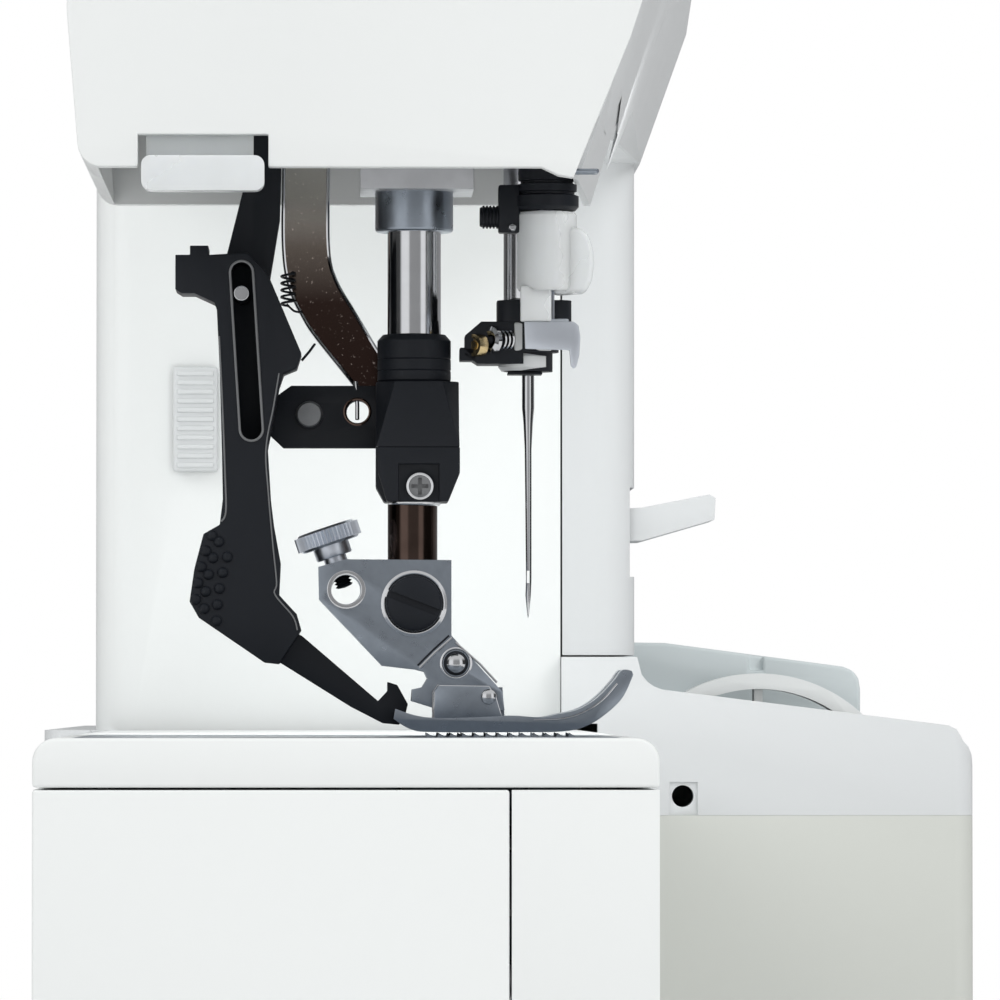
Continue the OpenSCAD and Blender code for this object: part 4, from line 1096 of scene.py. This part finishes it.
def make_floor():
    """A pale sheet of board under the machine."""
    bm = bmesh.new()
    bmesh.ops.create_grid(bm, x_segments=1, y_segments=1, size=FLOOR_HALF)
    mesh = bpy.data.meshes.new("floor")
    bm.to_mesh(mesh)
    bm.free()
    floor = bpy.data.objects.new("floor", mesh)
    bpy.context.scene.collection.objects.link(floor)
    mesh.materials.append(moulded_plastic("floor_board", (0.86, 0.86, 0.86), (0.5, 0.6)))


# each step of the cards round the machine: where on the turn from the back, and how bright
CARD_STEPS = (
    (0.19, 0.3), (0.21, 0.04), (0.35, 0.05), (0.37, 1.0), (0.415, 1.0), (0.43, 0.36),
    (0.55, 0.38), (0.57, 1.0), (0.65, 1.0), (0.68, 0.06), (0.85, 0.08),
)


def make_world(scene, fill):
    """White surroundings, with light and dark cards round the machine for the metal to mirror."""
    world = bpy.data.worlds.new("studio")
    world.use_nodes = True
    tree = world.node_tree
    link = tree.links.new
    even = tree.nodes["Background"]
    white, mirrored = (tree.nodes.new("ShaderNodeBackground") for _ in range(2))
    even.inputs["Strength"].default_value = fill
    for plain in (even, white):
        plain.inputs["Color"].default_value = (1, 1, 1, 1)
    coords = tree.nodes.new("ShaderNodeTexCoord")
    axes = tree.nodes.new("ShaderNodeSeparateXYZ")
    back, angle = (tree.nodes.new("ShaderNodeMath") for _ in range(2))
    back.operation = "MULTIPLY"
    back.inputs[1].default_value = -1
    angle.operation = "ARCTAN2"
    turn, height = (tree.nodes.new("ShaderNodeMapRange") for _ in range(2))
    for step, low, high in ((turn, -math.pi, math.pi), (height, 0.3, 0.6)):
        step.inputs["From Min"].default_value = low
        step.inputs["From Max"].default_value = high
    cards = tree.nodes.new("ShaderNodeValToRGB")
    for element in cards.color_ramp.elements:
        element.color = (0.35, 0.35, 0.36, 1)
    for position, value in CARD_STEPS:
        cards.color_ramp.elements.new(position).color = (value, value, value * 1.01, 1)
    overhead = tree.nodes.new("ShaderNodeMix")
    overhead.data_type = "RGBA"
    overhead.inputs[7].default_value = (0.75, 0.75, 0.75, 1)
    path = tree.nodes.new("ShaderNodeLightPath")
    by_gloss, by_camera = (tree.nodes.new("ShaderNodeMixShader") for _ in range(2))
    for source, target in (
        (coords.outputs["Generated"], axes.inputs[0]),
        (axes.outputs["X"], back.inputs[0]),
        (axes.outputs["Y"], angle.inputs[0]),
        (back.outputs[0], angle.inputs[1]),
        (angle.outputs[0], turn.inputs["Value"]),
        (turn.outputs["Result"], cards.inputs["Fac"]),
        (axes.outputs["Z"], height.inputs["Value"]),
        (height.outputs["Result"], overhead.inputs[0]),
        (cards.outputs["Color"], overhead.inputs[6]),
        (overhead.outputs[2], mirrored.inputs["Color"]),
        (path.outputs["Is Glossy Ray"], by_gloss.inputs["Fac"]),
        (even.outputs[0], by_gloss.inputs[1]),
        (mirrored.outputs[0], by_gloss.inputs[2]),
        (path.outputs["Is Camera Ray"], by_camera.inputs["Fac"]),
        (by_gloss.outputs[0], by_camera.inputs[1]),
        (white.outputs[0], by_camera.inputs[2]),
        (by_camera.outputs[0], tree.nodes["World Output"].inputs["Surface"]),
    ):
        link(source, target)
    scene.world = world


def add_lamp(name, kind, power, direction, spot=(0, 0, 0)):
    """A lamp that metal doesn't mirror."""
    data = bpy.data.lights.new(name, kind)
    data.energy = power
    lamp = bpy.data.objects.new(name, data)
    lamp.location = spot
    lamp.rotation_mode = "QUATERNION"
    lamp.rotation_quaternion = direction.to_track_quat("-Z", "Y")
    lamp.visible_glossy = False
    bpy.context.scene.collection.objects.link(lamp)
    return lamp


def even_light(name, direction, power, spread):
    """A far, wide lamp shining one way."""
    add_lamp(name, "SUN", power, direction).data.angle = math.radians(spread)


def sewing_lamp(spot, size, power):
    """The sewing light under the arm: a soft lamp that brightens the column's end."""
    lamp = add_lamp("sewing_lamp", "AREA", power, Vector((1, 0, 0)), spot)
    lamp.data.size = size
    lamp.visible_camera = False


def soft_light(name, spot, size, power):
    """A square lamp aimed at the needle."""
    add_lamp(name, "AREA", power, Vector((NEEDLE_X, NEEDLE_Y, 0.12)) - spot, spot).data.size = size


class SEWING_PT_panel(bpy.types.Panel):
    """Lists the pieces of the sewing machine."""

    bl_label = "Sewing machine"
    bl_space_type = "VIEW_3D"
    bl_region_type = "UI"
    bl_category = "Sewing machine"

    def draw(self, context):
        column = self.layout.column()
        for operator in PIECE_OPERATORS:
            column.operator(operator.bl_idname)
        for group in (finish_values(), studio_values()):
            for key in group.bl_rna.properties.keys():
                if key not in ("rna_type", "name"):
                    self.layout.prop(group, key)


PIECE_OPERATORS = (
    SEWING_OT_casing,
    SEWING_OT_free_arm,
    SEWING_OT_hook,
    SEWING_OT_drive,
    SEWING_OT_needle,
    SEWING_OT_threader,
    SEWING_OT_presser,
    SEWING_OT_top_feed,
    SEWING_OT_controls,
    SEWING_OT_studio,
)
CLASSES = (SewingMachineFinish, SewingMachineStudio, *PIECE_OPERATORS, SEWING_PT_panel)


def register():
    for cls in CLASSES:
        bpy.utils.register_class(cls)
    bpy.types.Scene.sewing_machine_finish = bpy.props.PointerProperty(type=SewingMachineFinish)
    bpy.types.Scene.sewing_machine_studio = bpy.props.PointerProperty(type=SewingMachineStudio)


def unregister():
    del bpy.types.Scene.sewing_machine_studio
    del bpy.types.Scene.sewing_machine_finish
    for cls in reversed(CLASSES):
        bpy.utils.unregister_class(cls)


def main():
    """Builds the whole machine."""
    register()
    make_materials()
    for operator in PIECE_OPERATORS:
        group, name = operator.bl_idname.split(".")
        getattr(getattr(bpy.ops, group), name)()


if __name__ == "__main__":
    main()
